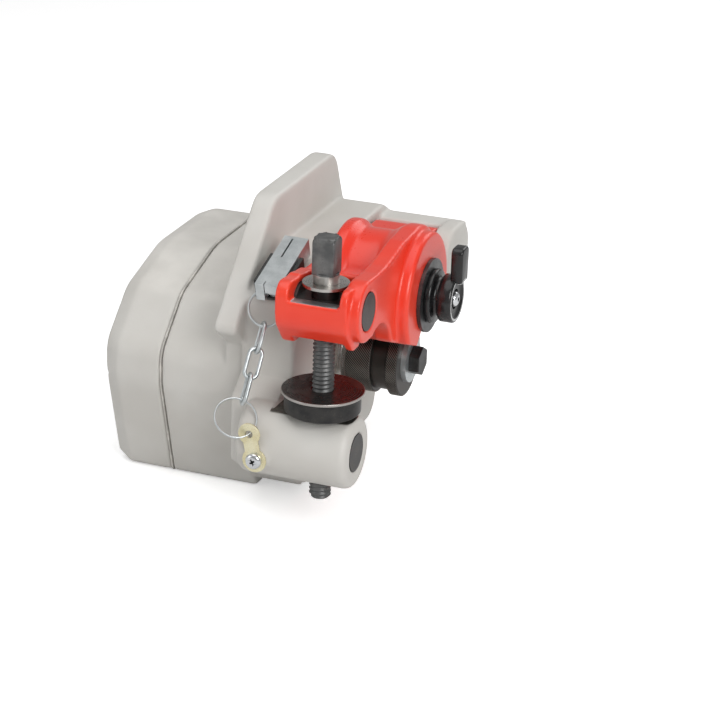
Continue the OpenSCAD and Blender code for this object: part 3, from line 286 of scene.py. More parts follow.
def housingPaint(h):
    f = castPaint("housingPaint", h)
    x, y, z = f.parts(f.place)
    up = f.slope()[2]
    # the milled flat: bare metal, its dark tone also painted shade from the stop disc above it
    milled = up.rise(0.9, 0.97) * (y < h["flatBack"] * mm) * z.within(*h["flatHeights"])
    milled = milled * (x > h["flatLeft"] * mm)
    bareAndShaded = f.mix(f.noise(3, 4).rise(0.35, 0.65), *h["flatShadedTones"])
    # painted light: the up-facing roof of the case behind the flange gets a lighter tone
    roof = up.rise(0.7, 0.95) * (x < h["roofRight"] * mm) * (z > h["roofLow"] * mm)
    roofPaintedLight = f.mix(f.noise(24, 4).rise(0.3, 0.7), *h["roofLitTones"])
    painted = f.mix(roof * h["roofShare"], f.held("Base Color"), roofPaintedLight)
    f.set("Base Color", f.mix(milled, painted, bareAndShaded))
    f.set("Metallic", milled * h["flatMetal"])
    return f


# Arm: glossy red, the top of the front bar milled bare
armLook = {
    "tones": (rgb(231, 52, 30), rgb(238, 66, 42)), "rough": 0.33, "bump": 0.25, "depth": 0.22,
    "hollowDarkening": 0.35, "hollowTone": rgb(178, 30, 20), "wear": 0.35, "wearTone": rgb(240, 112, 96),
    "coat": 0.35, "coatRough": 0.22,
    "barSides": (0.2, 30.4), "barBack": -111.5, "barHeights": (72.2, 74.4), "barMetal": 0.9,
    "barTones": (rgb(150, 152, 154), rgb(200, 202, 204)),
}


def armPaint(a):
    f = castPaint("armPaint", a)
    f.set("Coat Roughness", a["coatRough"])
    f.set("Coat Weight", a["coat"])
    x, y, z = f.parts(f.place)
    up = f.slope()[2]
    bar = up.rise(0.9, 0.97) * (y < a["barBack"] * mm) * z.within(*a["barHeights"])
    bar = bar * x.within(*a["barSides"])
    streak = f.noise(1, 2, 0.5, f.vector(x * 0.15, y, 0))
    f.set("Base Color", f.mix(bar, f.held("Base Color"), f.mix(streak, *a["barTones"])))
    f.set("Metallic", bar * a["barMetal"])
    return f


# Turned steels: fine rings left by the lathe, oil stains and a little wear
brightTurned = {
    "ring": 0.35, "stain": 14, "tones": (rgb(168, 166, 162), rgb(200, 198, 194)), "speck": 0.3,
    "speckTone": rgb(120, 116, 110), "metal": 0.95, "rough": 0.3, "bump": 0.5,
}
darkTurned = {
    "ring": 0.4, "stain": 10, "tones": (rgb(72, 72, 72), rgb(96, 95, 93)), "speck": 0.4,
    "speckTone": rgb(52, 50, 48), "metal": 0.75, "rough": 0.42, "bump": 0.4,
}
hardTurned = {
    "ring": 0.4, "stain": 9, "tones": (rgb(104, 102, 99), rgb(138, 135, 130)), "speck": 0.45,
    "speckTone": rgb(80, 74, 66), "metal": 0.9, "rough": 0.36, "bump": 0.45,
}
blackOxide = {
    "ring": 0.5, "stain": 8, "tones": (rgb(40, 40, 41), rgb(58, 57, 56)), "speck": 0.35,
    "speckTone": rgb(84, 78, 72), "metal": 0.55, "rough": 0.38, "bump": 0.35,
}


def turnedSteel(name, axis, centre, steel):
    f = Finish(name, {})
    radius, along = f.round(axis, centre)
    ring = f.noise(steel["ring"], 2, 0.6, f.vector(along, radius, 0))
    stain = f.noise(steel["stain"], 3).rise(0.35, 0.7)
    speck = f.noise(0.9, 2).rise(0.55, 0.75)
    tone = f.mix(stain, *steel["tones"])
    tone = f.mix(speck * steel["speck"], tone, steel["speckTone"])
    f.set("Base Color", tone)
    f.set("Metallic", steel["metal"])
    f.set("Roughness", steel["rough"] + (ring - 0.5) * 0.2 + (stain - 0.5) * 0.1)
    f.set("Normal", f.bump(ring, steel["bump"], 0.05))
    return f


# Feed screw: blued, the square worn grey, the neck ground bright
screwSteel = {
    "ring": 0.5, "stain": 8, "tones": (rgb(92, 93, 93), rgb(120, 120, 119)), "speck": 0.3,
    "speckTone": rgb(70, 68, 66), "metal": 0.65, "rough": 0.48, "bump": 0.35,
    "neck": (80.6, 85.9), "neckTone": rgb(180, 178, 174),
}


def screwFinish(s):
    f = turnedSteel("screwSteel", "Z", screwAxis, s)
    neck = f.round("Z", screwAxis)[1].within(*s["neck"])
    f.set("Base Color", f.mix(neck, f.held("Base Color"), s["neckTone"]))
    f.set("Roughness", f.held("Roughness") - neck * 0.06)
    f.set("Metallic", s["metal"] + neck * 0.1)
    return f


# Roll shaft: ground bright, its end disc blackened
shaftLook = {
    **brightTurned, "discStart": 48.3, "discTones": (rgb(74, 74, 75), rgb(98, 98, 99)), "discDull": 0.15,
}


def rollShaftFinish(s):
    f = turnedSteel("rollShaftSteel", "X", rollAxis, s)
    disc = f.parts(f.place)[0] > s["discStart"] * mm
    cloud = f.noise(9, 3).rise(0.35, 0.7)
    f.set("Base Color", f.mix(disc, f.held("Base Color"), f.mix(cloud, *s["discTones"])))
    f.set("Metallic", s["metal"] - disc * s["discDull"])
    return f


# Plating: fine brushing and faint clouds
zinc = {"tones": (rgb(192, 198, 199), rgb(214, 219, 220)), "streak": rgb(166, 172, 174),
        "metal": 0.85, "rough": 0.34}
goldZinc = {"tones": (rgb(224, 214, 174), rgb(238, 232, 200)), "streak": rgb(204, 190, 138),
            "metal": 0.8, "rough": 0.3}
chrome = {"tones": (rgb(214, 216, 218), rgb(232, 234, 236)), "streak": rgb(190, 192, 196),
          "metal": 0.95, "rough": 0.16}


def plated(name, plate):
    f = Finish(name, {})
    x, y, z = f.parts(f.place)
    brush = f.noise(0.5, 3, 0.6, f.vector(x, y * 0.12, z))
    cloud = f.noise(7, 3).rise(0.3, 0.7)
    tone = f.mix(cloud, *plate["tones"])
    f.set("Base Color", f.mix((brush - 0.5).rise(0, 0.3) * 0.4, tone, plate["streak"]))
    f.set("Metallic", plate["metal"])
    f.set("Roughness", plate["rough"] + (brush - 0.5) * 0.22)
    f.set("Normal", f.bump(brush, 0.3, 0.03))
    return f


# Stop disc: blackened faces, a bright rim that is a painted highlight on a worn edge
discLook = {
    "tones": (rgb(64, 60, 59), rgb(86, 80, 78)), "rim": (23.2, 23.9), "rimHighlightTone": rgb(176, 172, 168),
    "metal": 0.7, "rough": 0.26,
}


def discFinish(d):
    f = Finish("discFinish", {})
    radius, along = f.round("Z", screwAxis)
    ring = f.noise(0.5, 2, 0.6, f.vector(radius, along, 0))
    rub = f.noise(12, 3).rise(0.4, 0.75)
    # the bright rim: a painted highlight on the worn edge of the disc
    rim = radius.rise(*(r * mm for r in d["rim"]))
    f.set("Base Color", f.mix(rim, f.mix(rub, *d["tones"]), d["rimHighlightTone"]))
    f.set("Metallic", d["metal"] + rim * 0.25)
    f.set("Roughness", d["rough"] + (ring - 0.5) * 0.15 + rub * 0.08)
    f.set("Normal", f.bump(ring, 0.3, 0.03))
    return f


# Drive roll: dark knurled lands with brighter tips, a stop flange polished by use
rollLook = {
    "landTones": (rgb(74, 71, 68), rgb(150, 146, 140)), "land": (22.75, 23.1), "flangeStart": 24.5,
    "flangeTones": (rgb(150, 147, 142), rgb(196, 193, 188)), "metal": 0.92, "rough": 0.38,
}


def rollFinish(r):
    f = Finish("rollFinish", {})
    radius, along = f.round("X", driveAxis)
    ring = f.noise(0.4, 2, 0.6, f.vector(along, radius, 0))
    stain = f.noise(8, 3).rise(0.35, 0.7)
    flange = radius > r["flangeStart"] * mm
    tip = radius.rise(*(v * mm for v in r["land"]))
    f.set("Base Color", f.mix(flange, f.mix(tip, *r["landTones"]), f.mix(stain, *r["flangeTones"])))
    f.set("Metallic", r["metal"])
    f.set("Roughness", r["rough"] - flange * 0.12 + (ring - 0.5) * 0.14)
    f.set("Normal", f.bump(ring, 0.4, 0.04))
    return f


def smoothPlastic(name, tone, rough):
    # moulded or rubbery surface with a light haze
    f = Finish(name, {"Specular IOR Level": 0.55})
    fine = f.noise(0.8, 2)
    haze = f.noise(9, 2).rise(0.4, 0.7)
    hazed = tuple(min(v * 1.5 + 0.004, 1) for v in tone[:3]) + (1,)
    f.set("Base Color", f.mix(haze, tone, hazed))
    f.set("Roughness", rough + haze * 0.08 + (fine - 0.5) * 0.05)
    f.set("Normal", f.bump(fine, 0.15, 0.04))
    return f


# Knob: glossy black, a bright ring round its dish that is a painted highlight
knobLook = {
    "tone": rgb(22, 22, 23), "rough": 0.2,
    "ringStart": 65.7, "ring": (11.7, 13.1), "ringHighlightTone": rgb(206, 206, 206), "ringMetal": 0.6,
}


def knobFinish(k):
    f = smoothPlastic("knobPlastic", k["tone"], k["rough"])
    radius, along = f.round("X", rollAxis)
    # the bright ring round the dish is a painted highlight
    ring = (along > k["ringStart"] * mm) * radius.within(*k["ring"])
    f.set("Base Color", f.mix(ring, f.held("Base Color"), k["ringHighlightTone"]))
    f.set("Metallic", ring * k["ringMetal"])
    return f


bronze = {"tones": (rgb(176, 138, 84), rgb(202, 166, 108)), "metal": 0.95, "rough": 0.34}


def castBronze(name, b):
    f = Finish(name, {})
    fine = f.noise(0.6, 3)
    f.set("Base Color", f.mix(f.noise(6, 3).rise(0.35, 0.7), *b["tones"]))
    f.set("Metallic", b["metal"])
    f.set("Roughness", b["rough"] + (fine - 0.5) * 0.2)
    f.set("Normal", f.bump(fine, 0.25, 0.04))
    return f


turnedFinishes = {
    "blackBolt": ("X", driveAxis, blackOxide),
    "blackScrew": ("Z", screwAxis, blackOxide),
    "washerSteel": ("Z", screwAxis, brightTurned),
    "driveSteel": ("X", driveAxis, brightTurned),
    "gearSteel": ("X", driveAxis, hardTurned),
    "pinionSteel": ("X", pinionAxis, hardTurned),
    "pivotSteel": ("X", pivotAxis, darkTurned),
    "trunnionSteel": ("X", upperTrunnionAxis, darkTurned),
    "lowerTrunnionSteel": ("X", lowerTrunnionAxis, darkTurned),
    "grooveSteel": ("X", rollAxis, hardTurned),
}
finishes = {name: turnedSteel(name, *spec).material for name, spec in turnedFinishes.items()}
finishes |= {
    "housing": housingPaint(housingLook).material,
    "arm": armPaint(armLook).material,
    "gasket": smoothPlastic("gasketFinish", rgb(178, 175, 169), 0.7).material,
    "rubber": smoothPlastic("rubberFinish", rgb(30, 30, 30), 0.6).material,
    "clip": smoothPlastic("clipPlastic", rgb(34, 35, 34), 0.42).material,
    "feedScrew": screwFinish(screwSteel).material,
    "rollShaftSteel": rollShaftFinish(shaftLook).material,
    "disc": discFinish(discLook).material,
    "driveRoll": rollFinish(rollLook).material,
    "zinc": plated("zincPlate", zinc).material,
    "goldZinc": plated("goldZincPlate", goldZinc).material,
    "chrome": plated("brightPlate", chrome).material,
    "bronze": castBronze("bronzeBush", bronze).material,
    "knob": knobFinish(knobLook).material,
}

nodeFinishes = {
    "housing": ["main_housing", "gear_cover"],
    "arm": ["upper_arm"],
    "gasket": ["cover_gasket"],
    "rubber": ["front_seal", "input_seal"],
    "blackBolt": ["cover_screws", "filler_plug", "end_bolt", "gear_ring", "pivot_set_screw"],
    "blackScrew": ["stop_nut", "thrust_sleeve", "lift_collar"],
    "feedScrew": ["feed_screw"],
    "driveSteel": ["drive_shaft", "front_bearing", "rear_bearing", "gear_key", "roll_key"],
    "gearSteel": ["drive_gear"],
    "pinionSteel": ["input_pinion", "pinion_front_bearing", "pinion_rear_bearing"],
    "pivotSteel": ["pivot_shaft"],
    "trunnionSteel": ["upper_trunnion"],
    "lowerTrunnionSteel": ["lower_trunnion"],
    "grooveSteel": ["groove_roll"],
    "rollShaftSteel": ["roll_shaft", "groove_roll_bearing"],
    "disc": ["stop_plate"],
    "driveRoll": ["drive_roll"],
    "zinc": ["depth_gauge", "gauge_ring", "top_link", "middle_link", "bottom_link", "split_ring",
             "end_washer", "lift_pin"],
    "goldZinc": ["chain_bracket"],
    "chrome": ["knob_screw", "bracket_screw", "clip_screws"],
    "washerSteel": ["thrust_washer"],
    "bronze": ["pivot_bushes", "side_washers"],
    "knob": ["lever_knob"],
    "clip": ["gauge_clip"],
}


def dressNodes():
    for finish, nodes in nodeFinishes.items():
        for node in nodes:
            piece = frame["nodes"][node]
            if not piece.material_slots:
                piece.data.materials.append(finishes[finish])
            for slot in piece.material_slots:
                slot.material = finishes[finish]


dressNodes()
print("finishes made:", len(finishes))


# Mesh helpers; distances in millimetres, angles in degrees
nodeWeld = 0.002
pieceWeld = 0.001
flatAngle = 0.5
softAngle = 32


def bodyOf(node):
    return frame["nodes"][node]["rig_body"]


def nodeCopy(node):
    # a merged copy of a node's mesh, in millimetres
    bm = bmesh.new()
    bm.from_mesh(frame["nodes"][node].data)
    bmesh.ops.scale(bm, vec=(1 / mm, 1 / mm, 1 / mm), verts=bm.verts)
    bmesh.ops.remove_doubles(bm, verts=bm.verts, dist=nodeWeld)
    return bm


def meshFrom(bm, name):
    mesh = bpy.data.meshes.new(name)
    bm.to_mesh(mesh)
    bm.free()
    return mesh


def toMetres(bm):
    bmesh.ops.scale(bm, vec=(mm, mm, mm), verts=bm.verts)


def finishPiece(bm, name, node, finish, sharp=30):
    # turns a bmesh in millimetres into a piece that stands for a node
    bmesh.ops.remove_doubles(bm, verts=bm.verts, dist=pieceWeld)
    bmesh.ops.recalc_face_normals(bm, faces=bm.faces)
    toMetres(bm)
    return meshPiece(meshFrom(bm, name), name, node, finish, sharp)


def meshPiece(mesh, name, node, finish, sharp):
    mesh.name = name
    mesh.materials.clear()
    mesh.materials.append(finishes[finish])
    mesh.shade_smooth()
    if sharp:
        mesh.set_sharp_from_angle(angle=math.radians(sharp))
    piece = addObject(name, mesh)
    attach(piece, bodyOf(node))
    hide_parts(node)
    return piece


def joinInto(bm, other):
    spare = meshFrom(other, "spare")
    bm.from_mesh(spare)
    bpy.data.meshes.remove(spare)


def everything(bm):
    return bm.verts[:] + bm.edges[:] + bm.faces[:]


def openLine(bm, points):
    verts = [bm.verts.new(p) for p in points]
    return verts + [bm.edges.new(pair) for pair in zip(verts, verts[1:])]


def spinProfile(bm, profile, centre, steps):
    # turns (along, radius) points about a line along X through centre
    points = [(a, centre[1] + r, centre[2]) for a, r in profile]
    bmesh.ops.spin(bm, geom=openLine(bm, points), cent=centre, axis=(1, 0, 0), angle=fullTurn,
                   steps=steps, use_merge=True)
    bmesh.ops.remove_doubles(bm, verts=bm.verts, dist=pieceWeld)


def cutAcross(bm, height, side):
    # cuts at a height and clears the inner (lower) or outer (upper) side
    bmesh.ops.bisect_plane(bm, geom=everything(bm), plane_co=(0, 0, height), plane_no=(0, 0, 1),
                           **{"clear_" + side: True})


def fillHoles(bm):
    rims = [e for e in bm.edges if e.is_boundary]
    if rims:
        bmesh.ops.holes_fill(bm, edges=rims, sides=0)


def joinFlats(bm):
    bmesh.ops.dissolve_limit(bm, angle_limit=math.radians(flatAngle), verts=bm.verts, edges=bm.edges)


def sharpEdges(bm, angle):
    limit = math.radians(angle)
    return [e for e in bm.edges if len(e.link_faces) == 2 and e.calc_face_angle(0) > limit]


def roundEdges(bm, edges, offset, segments):
    bmesh.ops.bevel(bm, geom=edges, offset=offset, segments=segments, profile=0.5, affect="EDGES",
                    material=-1)


def turnPiece(bm, angle, axis):
    bmesh.ops.rotate(bm, matrix=Matrix.Rotation(math.radians(angle), 3, axis), verts=bm.verts)


def softCopy(name, node, finish, slot, width):
    # a node whose sharp edges are broken by a small bevel
    bm = nodeCopy(node)
    joinFlats(bm)
    piece = finishPiece(bm, name, node, finish)
    bevel = piece.modifiers.new("brokenEdges", "BEVEL")
    bevel.width = width * mm
    bevel.segments = 2
    bevel.limit_method = "ANGLE"
    bevel.angle_limit = math.radians(softAngle)
    bevel.harden_normals = True


# Castings: the CAD solid with the round edges and fillets that casting leaves
castings = {
    "housingCasting": {
        "node": "main_housing", "voxel": 1.05, "passes": 10, "finish": "housing",
        "slot": "cast_housing", "share": 0.62, "crisp": [((-54, -126, -1.5), (38, -80, 30))],
    },
    "coverCasting": {
        "node": "gear_cover", "voxel": 1.1, "passes": 8, "finish": "housing",
        "slot": "cast_housing", "share": 0.6, "crisp": [],
    },
    "armCasting": {
        "node": "upper_arm", "voxel": 0.72, "passes": 11, "finish": "arm",
        "slot": "red_paint", "share": 0.8, "crisp": [],
    },
}


def inside(point, box):
    low, high = box
    return all(low[i] * mm <= point[i] <= high[i] * mm for i in range(3))


def bakeModifiers(piece):
    seen = piece.evaluated_get(bpy.context.evaluated_depsgraph_get())
    mesh = bpy.data.meshes.new_from_object(seen)
    piece.modifiers.clear()
    piece.data = mesh


def makeCasting(name, c):
    bm = nodeCopy(c["node"])
    toMetres(bm)
    rough = addObject(name + "Rough", meshFrom(bm, name + "Rough"))
    remesh = rough.modifiers.new("skin", "REMESH")
    remesh.mode = "VOXEL"
    remesh.voxel_size = c["voxel"] * mm
    bakeModifiers(rough)
    bm = bmesh.new()
    bm.from_mesh(rough.data)
    free = [v for v in bm.verts if not any(inside(v.co, box) for box in c["crisp"])]
    for _ in range(c["passes"]):
        bmesh.ops.smooth_vert(bm, verts=free, factor=0.5, use_axis_x=True, use_axis_y=True,
                              use_axis_z=True)
    bm.to_mesh(rough.data)
    bm.free()
    thin = rough.modifiers.new("fewer", "DECIMATE")
    thin.ratio = c["share"]
    bakeModifiers(rough)
    mesh = rough.data
    bpy.data.objects.remove(rough)
    meshPiece(mesh, name, c["node"], c["finish"], 0)
    print(name, "faces", len(mesh.polygons))


for castingName, casting in castings.items():
    makeCasting(castingName, casting)
print("castings made")


# Feed screw: the head and neck of the node over a cut thread with a pointed tip
feedScrew = {
    "split": 50.5, "low": -50.5, "top": 6.35, "root": 5.15, "pitch": 2.54, "steps": 40, "tip": 1.5,
    "flanks": [(0.06, "root"), (0.44, "top"), (0.56, "top"), (0.94, "root")], "weld": 0.005,
    "overlap": 0.2, "edge": 0.7, "headLow": 84, "cornerAngle": 25,
}


def cutThread(s):
    thread = bmesh.new()
    points = []
    for i in range(-1, int((s["split"] - s["low"]) / s["pitch"]) + 3):
        for share, level in s["flanks"]:
            height = s["low"] + (i - 1 + share) * s["pitch"]
            points.append((screwAxis[0] + s[level], screwAxis[1], height))
    bmesh.ops.spin(thread, geom=openLine(thread, points), cent=screwAxis, axis=(0, 0, 1),
                   angle=fullTurn, dvec=(0, 0, s["pitch"] / s["steps"]), steps=s["steps"])
    bmesh.ops.remove_doubles(thread, verts=thread.verts, dist=s["weld"])
    cutAcross(thread, s["low"], "inner")
    cutAcross(thread, s["split"] + s["overlap"], "outer")
    fillHoles(thread)
    for v in thread.verts:
        limit = s["top"] - s["tip"] + (v.co.z - s["low"])
        flat = Vector((v.co.x - screwAxis[0], v.co.y - screwAxis[1]))
        if flat.length > limit:
            flat *= limit / flat.length
            v.co.x, v.co.y = screwAxis[0] + flat.x, screwAxis[1] + flat.y
    bmesh.ops.recalc_face_normals(thread, faces=thread.faces)
    return thread


def makeFeedScrew(s):
    bm = nodeCopy("feed_screw")
    cutAcross(bm, s["split"], "inner")
    fillHoles(bm)
    joinFlats(bm)
    corners = [e for e in sharpEdges(bm, s["cornerAngle"])
               if all(v.co.z > s["headLow"] for v in e.verts)]
    roundEdges(bm, corners, s["edge"], 2)
    joinInto(bm, cutThread(s))
    finishPiece(bm, "threadedFeedScrew", "feed_screw", "feedScrew", 28)


makeFeedScrew(feedScrew)


# Drive roll with knurled lands; its stop flange ends at X 0
driveRoll = {
    "bore": 11.03, "land": 22.85, "groove": 20.4, "flange": 31, "flangeBack": -7, "steps": 180,
    "firstLand": (0, 15.3), "secondLand": (25.2, 32), "row": 0.8, "depth": 0.24, "rim": 0.4,
}


def knurlSpan(d, land):
    # both ends of the knurling on a land, and its number of rows
    low, high = land[0] + d["rim"], land[1] - d["rim"]
    return low, high, round((high - low) / d["row"])


def makeDriveRoll(d):
    def rows(land):
        low, high, count = knurlSpan(d, land)
        return [(low + i * (high - low) / count, d["land"]) for i in range(count + 1)]
    back, flange, land, groove, rim = (d[k] for k in ("flangeBack", "flange", "land", "groove", "rim"))
    first, second = d["firstLand"], d["secondLand"]
    profile = [
        (back, d["bore"]), (back, flange - 1), (back + 0.3, flange - 0.3), (back + 1, flange),
        (-1, flange), (-0.3, flange - 0.3), (0, flange - 1), (0, land + 0.6), (0.1, land),
        *rows(first),
        (first[1], land - rim), (first[1], groove), (second[0], groove), (second[0], land - rim),
        *rows(second),
        (second[1], land - 0.9), (second[1], d["bore"]), (back, d["bore"]),
    ]
    bm = bmesh.new()
    spinProfile(bm, profile, driveAxis, d["steps"])
    for span in (first, second):
        low, high, count = knurlSpan(d, span)
        for v in bm.verts:
            radius = math.hypot(v.co.y, v.co.z)
            if low - 0.01 < v.co.x < high + 0.01 and abs(radius - land) < 0.02:
                row = round((v.co.x - low) / (high - low) * count)
                tooth = round(math.atan2(v.co.z, v.co.y) / fullTurn * d["steps"])
                lift = d["depth"] if (row + tooth) % 2 else -d["depth"]
                v.co.y *= (radius + lift) / radius
                v.co.z *= (radius + lift) / radius
    finishPiece(bm, "knurledDriveRoll", "drive_roll", "driveRoll", 24)


makeDriveRoll(driveRoll)
print("thread and knurling made")


# Knob with its wing
knob = {
    "bore": 6.03, "foot": 50.9, "footRadius": 16.2, "footEnd": 54.4, "neckRadius": 11.3,
    "neckEnd": 57.6, "headRadius": 14.3, "end": 66.4, "dishRadius": 11.4, "dishDepth": 1.5,
    "seat": 64.9, "seatRadius": 4.8,
    "wing": (63, 70.2), "wingFoot": 6, "wingTip": 6.5, "wingStart": 11, "wingLength": 32.5,
    "wingRound": 3.6, "edge": 1.3,
}


def makeKnob(k):
    bm = bmesh.new()
    foot, footEnd, neckEnd, end = k["foot"], k["footEnd"], k["neckEnd"], k["end"]
    footRadius, neck = k["footRadius"], k["neckRadius"]
    head, dish = k["headRadius"], k["dishRadius"]
    floor = end - k["dishDepth"]
    profile = [
        (foot, k["bore"]), (foot, footRadius - 0.8), (foot + 0.25, footRadius - 0.2),
        (foot + 0.9, footRadius), (footEnd - 1, footRadius), (footEnd - 0.3, footRadius - 0.3),
        (footEnd, footRadius - 1.1), (footEnd + 0.2, neck + 1.4), (footEnd + 0.9, neck + 0.3),
        (footEnd + 1.7, neck), (neckEnd - 0.5, neck + 0.1), (neckEnd, head - 0.7),
        (neckEnd + 0.8, head), (end - 1.4, head), (end - 0.5, head - 0.35), (end, head - 1.3),
        (end, dish + 0.5), (end - 0.4, dish), (floor, dish - 1.2), (floor, k["seatRadius"]),
        (k["seat"], k["seatRadius"]), (k["seat"], k["bore"]), (foot, k["bore"]),
    ]
    spinProfile(bm, profile, rollAxis, 72)
    wing = bmesh.new()
    bmesh.ops.create_cube(wing, size=1)
    low, high = k["wing"]
    for v in wing.verts:
        tip = v.co.z > 0
        half = k["wingTip"] if tip else k["wingFoot"]
        v.co.x = high if v.co.x > 0 else low
        v.co.y = rollAxis[1] + math.copysign(half, v.co.y)
        v.co.z = rollAxis[2] + (k["wingLength"] if tip else k["wingStart"])
    middle = rollAxis[2] + (k["wingStart"] + k["wingLength"]) / 2
    ends = [e for e in wing.edges if all(v.co.z > middle for v in e.verts)
            and abs(e.verts[0].co.y - e.verts[1].co.y) < 0.1]
    roundEdges(wing, ends, k["wingRound"], 6)
    roundEdges(wing, sharpEdges(wing, 40), k["edge"], 4)
    bmesh.ops.recalc_face_normals(wing, faces=wing.faces)
    joinInto(bm, wing)
    finishPiece(bm, "wingKnob", "lever_knob", "knob", 50)


makeKnob(knob)


# Screws with driver recesses; rings are (radius, height) from the recess outwards
bracketScrew = {
    "cross": (1.7, 0.42), "recess": 1.6, "turn": 28, "head": 3,
    "rings": [(2.6, 3), (3.6, 2.7), (4.3, 2.2), (4.75, 1.4), (4.9, 0.6), (4.9, 0), (2.5, 0), (2.5, -9)],
}
knobScrew = {
    "hexagon": 1.5, "recess": 1.2, "rings": [(2.3, 2.1), (3.2, 1.8), (4, 1.2), (4.45, 0.5), (4.5, 0)],
}


def recessedHead(outline, recess, rings):
    # a screw head round the z axis: an outline for the driver, rings round it
    bm = bmesh.new()
    radius, height = rings[0]
    lip = [bm.verts.new((x, y, height)) for x, y in outline]
    lipEdges = [bm.edges.new((lip[i - 1], lip[i])) for i in range(len(lip))]
    floor = bmesh.ops.extrude_edge_only(bm, edges=lipEdges)["geom"]
    floorVerts = [g for g in floor if isinstance(g, bmesh.types.BMVert)]
    floorEdges = [g for g in floor if isinstance(g, bmesh.types.BMEdge)]
    bmesh.ops.scale(bm, vec=(0.7, 0.7, 1), verts=floorVerts)
    bmesh.ops.translate(bm, vec=(0, 0, -recess), verts=floorVerts)
    bmesh.ops.contextual_create(bm, geom=floorEdges)
    circle = bmesh.ops.create_circle(bm, segments=32, radius=radius)["verts"]
    bmesh.ops.translate(bm, vec=(0, 0, height), verts=circle)
    rim = list({e for v in circle for e in v.link_edges})
    bmesh.ops.bridge_loops(bm, edges=lipEdges + rim)
    for nextRadius, nextHeight in rings[1:]:
        grown = bmesh.ops.extrude_edge_only(bm, edges=rim)["geom"]
        verts = [g for g in grown if isinstance(g, bmesh.types.BMVert)]
        rim = [g for g in grown if isinstance(g, bmesh.types.BMEdge)]
        share = nextRadius / radius
        bmesh.ops.scale(bm, vec=(share, share, 1), verts=verts)
        bmesh.ops.translate(bm, vec=(0, 0, nextHeight - height), verts=verts)
        radius, height = nextRadius, nextHeight
    bmesh.ops.contextual_create(bm, geom=rim)
    return bm


def crossOutline(a, b):
    return [(a, -b), (a, b), (b, b), (b, a), (-b, a), (-b, b), (-a, b), (-a, -b), (-b, -b), (-b, -a),
            (b, -a), (b, -b)]


def hexOutline(radius):
    turns = [math.radians(a) for a in range(0, 360, 60)]
    return [(radius * math.cos(t), radius * math.sin(t)) for t in turns]


def makeBracketScrew(s):
    low, high = (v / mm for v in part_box("bracket_screw"))
    bm = recessedHead(crossOutline(*s["cross"]), s["recess"], s["rings"])
    turnPiece(bm, s["turn"], "Z")
    turnPiece(bm, 90, "X")
    place = ((low.x + high.x) / 2, low.y + s["head"], (low.z + high.z) / 2)
    bmesh.ops.translate(bm, vec=place, verts=bm.verts)
    finishPiece(bm, "crossHeadScrew", "bracket_screw", "chrome", 35)


def makeKnobScrew(s):
    low, high = (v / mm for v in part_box("knob_screw"))
    bm = recessedHead(hexOutline(s["hexagon"]), s["recess"], s["rings"])
    turnPiece(bm, 90, "Y")
    place = (low.x, (low.y + high.y) / 2, (low.z + high.z) / 2)
    bmesh.ops.translate(bm, vec=place, verts=bm.verts)
    finishPiece(bm, "knobDomeScrew", "knob_screw", "chrome", 35)


makeBracketScrew(bracketScrew)
makeKnobScrew(knobScrew)
print("knob and screws made")


# Split ring: two turns of wire beside each other
splitRing = {"wire": 0.46, "radius": 12.2, "steps": 112, "turns": 2, "sides": 10, "lay": 0.98}


def planeOf(node):
    # middle of a ring-shaped node and the direction square to it
    points = np.array([v.co[:] for v in frame["nodes"][node].data.vertices])
    low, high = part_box(node)
    spread = np.linalg.eigh(np.cov(points.T))[1][:, 0]
    return (low + high) / 2 / mm, Vector(spread)


def makeSplitRing(r):
    middle, square = planeOf("split_ring")
    wire, steps = r["wire"], r["steps"] * r["turns"]
    bm = bmesh.new()
    bmesh.ops.create_circle(bm, segments=r["sides"], radius=wire, cap_ends=True)
    turnPiece(bm, 90, "X")
    rise = 2 * wire * r["lay"] * (r["turns"] - 1)
    bmesh.ops.translate(bm, vec=(r["radius"], 0, -rise / 2 - wire * 0.5), verts=bm.verts)
    bmesh.ops.spin(bm, geom=everything(bm), cent=(0, 0, 0), axis=(0, 0, 1),
                   angle=fullTurn * r["turns"], dvec=(0, 0, (rise + wire) / steps), steps=steps)
    turn = Vector((0, 0, 1)).rotation_difference(square).to_matrix()
    bmesh.ops.rotate(bm, matrix=turn, verts=bm.verts)
    bmesh.ops.translate(bm, vec=middle, verts=bm.verts)
    finishPiece(bm, "coiledSplitRing", "split_ring", "zinc", 50)


makeSplitRing(splitRing)

# Small made parts: node, finish, slot and the width of the broken edges
softPieces = {
    "bentGauge": ("depth_gauge", "zinc", "zinc_plate", 0.35),
    "gaugeClip": ("gauge_clip", "clip", "black_steel", 0.4),
    "bracketPlate": ("chain_bracket", "goldZinc", "yellow_zinc", 0.25),
    "stopNut": ("stop_nut", "blackScrew", "black_steel", 0.3),
    "stopDisc": ("stop_plate", "disc", "dark_steel", 0.35),
    "endBolt": ("end_bolt", "blackBolt", "black_steel", 0.5),
    "fillerPlug": ("filler_plug", "blackBolt", "black_steel", 0.6),
}
for softName, softSpec in softPieces.items():
    softCopy(softName, *softSpec)
print("small pieces made")


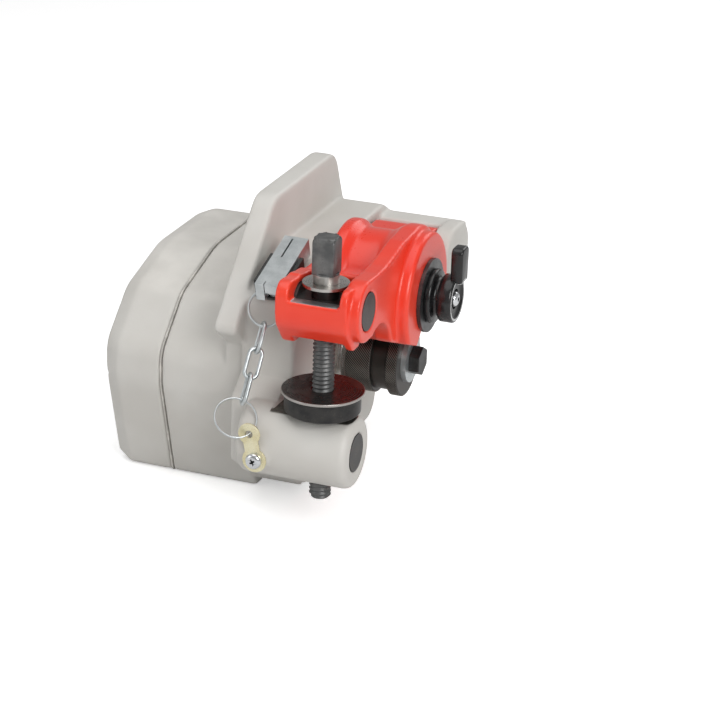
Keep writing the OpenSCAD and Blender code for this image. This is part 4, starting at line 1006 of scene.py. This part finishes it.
# Floor, backdrop and lamps
stage = {"floor": -72.9, "half": 4000, "tone": 0.8, "lift": 0.42, "world": 0.34}
lampAim = (0, -40, 0)
lamps = {
    "rightKey": {"from": (900, -900, 700), "size": 700, "watts": 10.5},
    "topSoft": {"from": (-100, -100, 1200), "size": 1200, "watts": 6},
    "leftFill": {"from": (-1000, -900, 400), "size": 900, "watts": 2.6},
    "backRim": {"from": (300, 1100, 800), "size": 800, "watts": 3},
}


def grey(level):
    return (level, level, level, 1)


def makeFloor(s):
    bm = bmesh.new()
    bmesh.ops.create_grid(bm, x_segments=1, y_segments=1, size=s["half"])
    bmesh.ops.translate(bm, vec=(0, 0, s["floor"]), verts=bm.verts)
    toMetres(bm)
    floor = addObject("paleFloor", meshFrom(bm, "paleFloor"))
    f = Finish("paleFloor", {"Roughness": 0.9, "Specular IOR Level": 0.1, "Emission Strength": 1})
    # the camera sees the floor brighter than the lamps make it, its shadow kept
    ray = f.node("ShaderNodeLightPath", {}, {}, "Is Camera Ray")
    f.set("Base Color", f.mix(ray, grey(s["tone"]), grey(1)))
    f.set("Emission Color", f.mix(ray, grey(0), grey(s["lift"])))
    floor.data.materials.append(f.material)


def makeWorld(s):
    # white to the camera and through glass, an even grey light on the object
    world = bpy.data.worlds.new("studio")
    scene.world = world
    world.use_nodes = True
    tree = world.node_tree
    back = tree.nodes["Background"]
    back.inputs["Strength"].default_value = 1
    ray = tree.nodes.new("ShaderNodeLightPath")
    seen = tree.nodes.new("ShaderNodeMath")
    seen.operation = "MAXIMUM"
    tree.links.new(ray.outputs["Is Camera Ray"], seen.inputs[0])
    tree.links.new(ray.outputs["Is Transmission Ray"], seen.inputs[1])
    mix = tree.nodes.new("ShaderNodeMix")
    mix.data_type = "RGBA"
    tree.links.new(seen.outputs[0], mix.inputs[0])
    mix.inputs[6].default_value = grey(s["world"])
    mix.inputs[7].default_value = grey(1)
    tree.links.new(mix.outputs[2], back.inputs["Color"])


def makeLamp(name, lamp):
    data = bpy.data.lights.new(name, "AREA")
    data.shape = "SQUARE"
    data.size = lamp["size"] * mm
    data.energy = lamp["watts"]
    piece = addObject(name, data)
    place = Vector(lamp["from"]) * mm
    piece.location = place
    piece.rotation_euler = (Vector(lampAim) * mm - place).to_track_quat("-Z", "Y").to_euler()


makeFloor(stage)
makeWorld(stage)
for lampName, lampSpec in lamps.items():
    makeLamp(lampName, lampSpec)
print("stage lit")
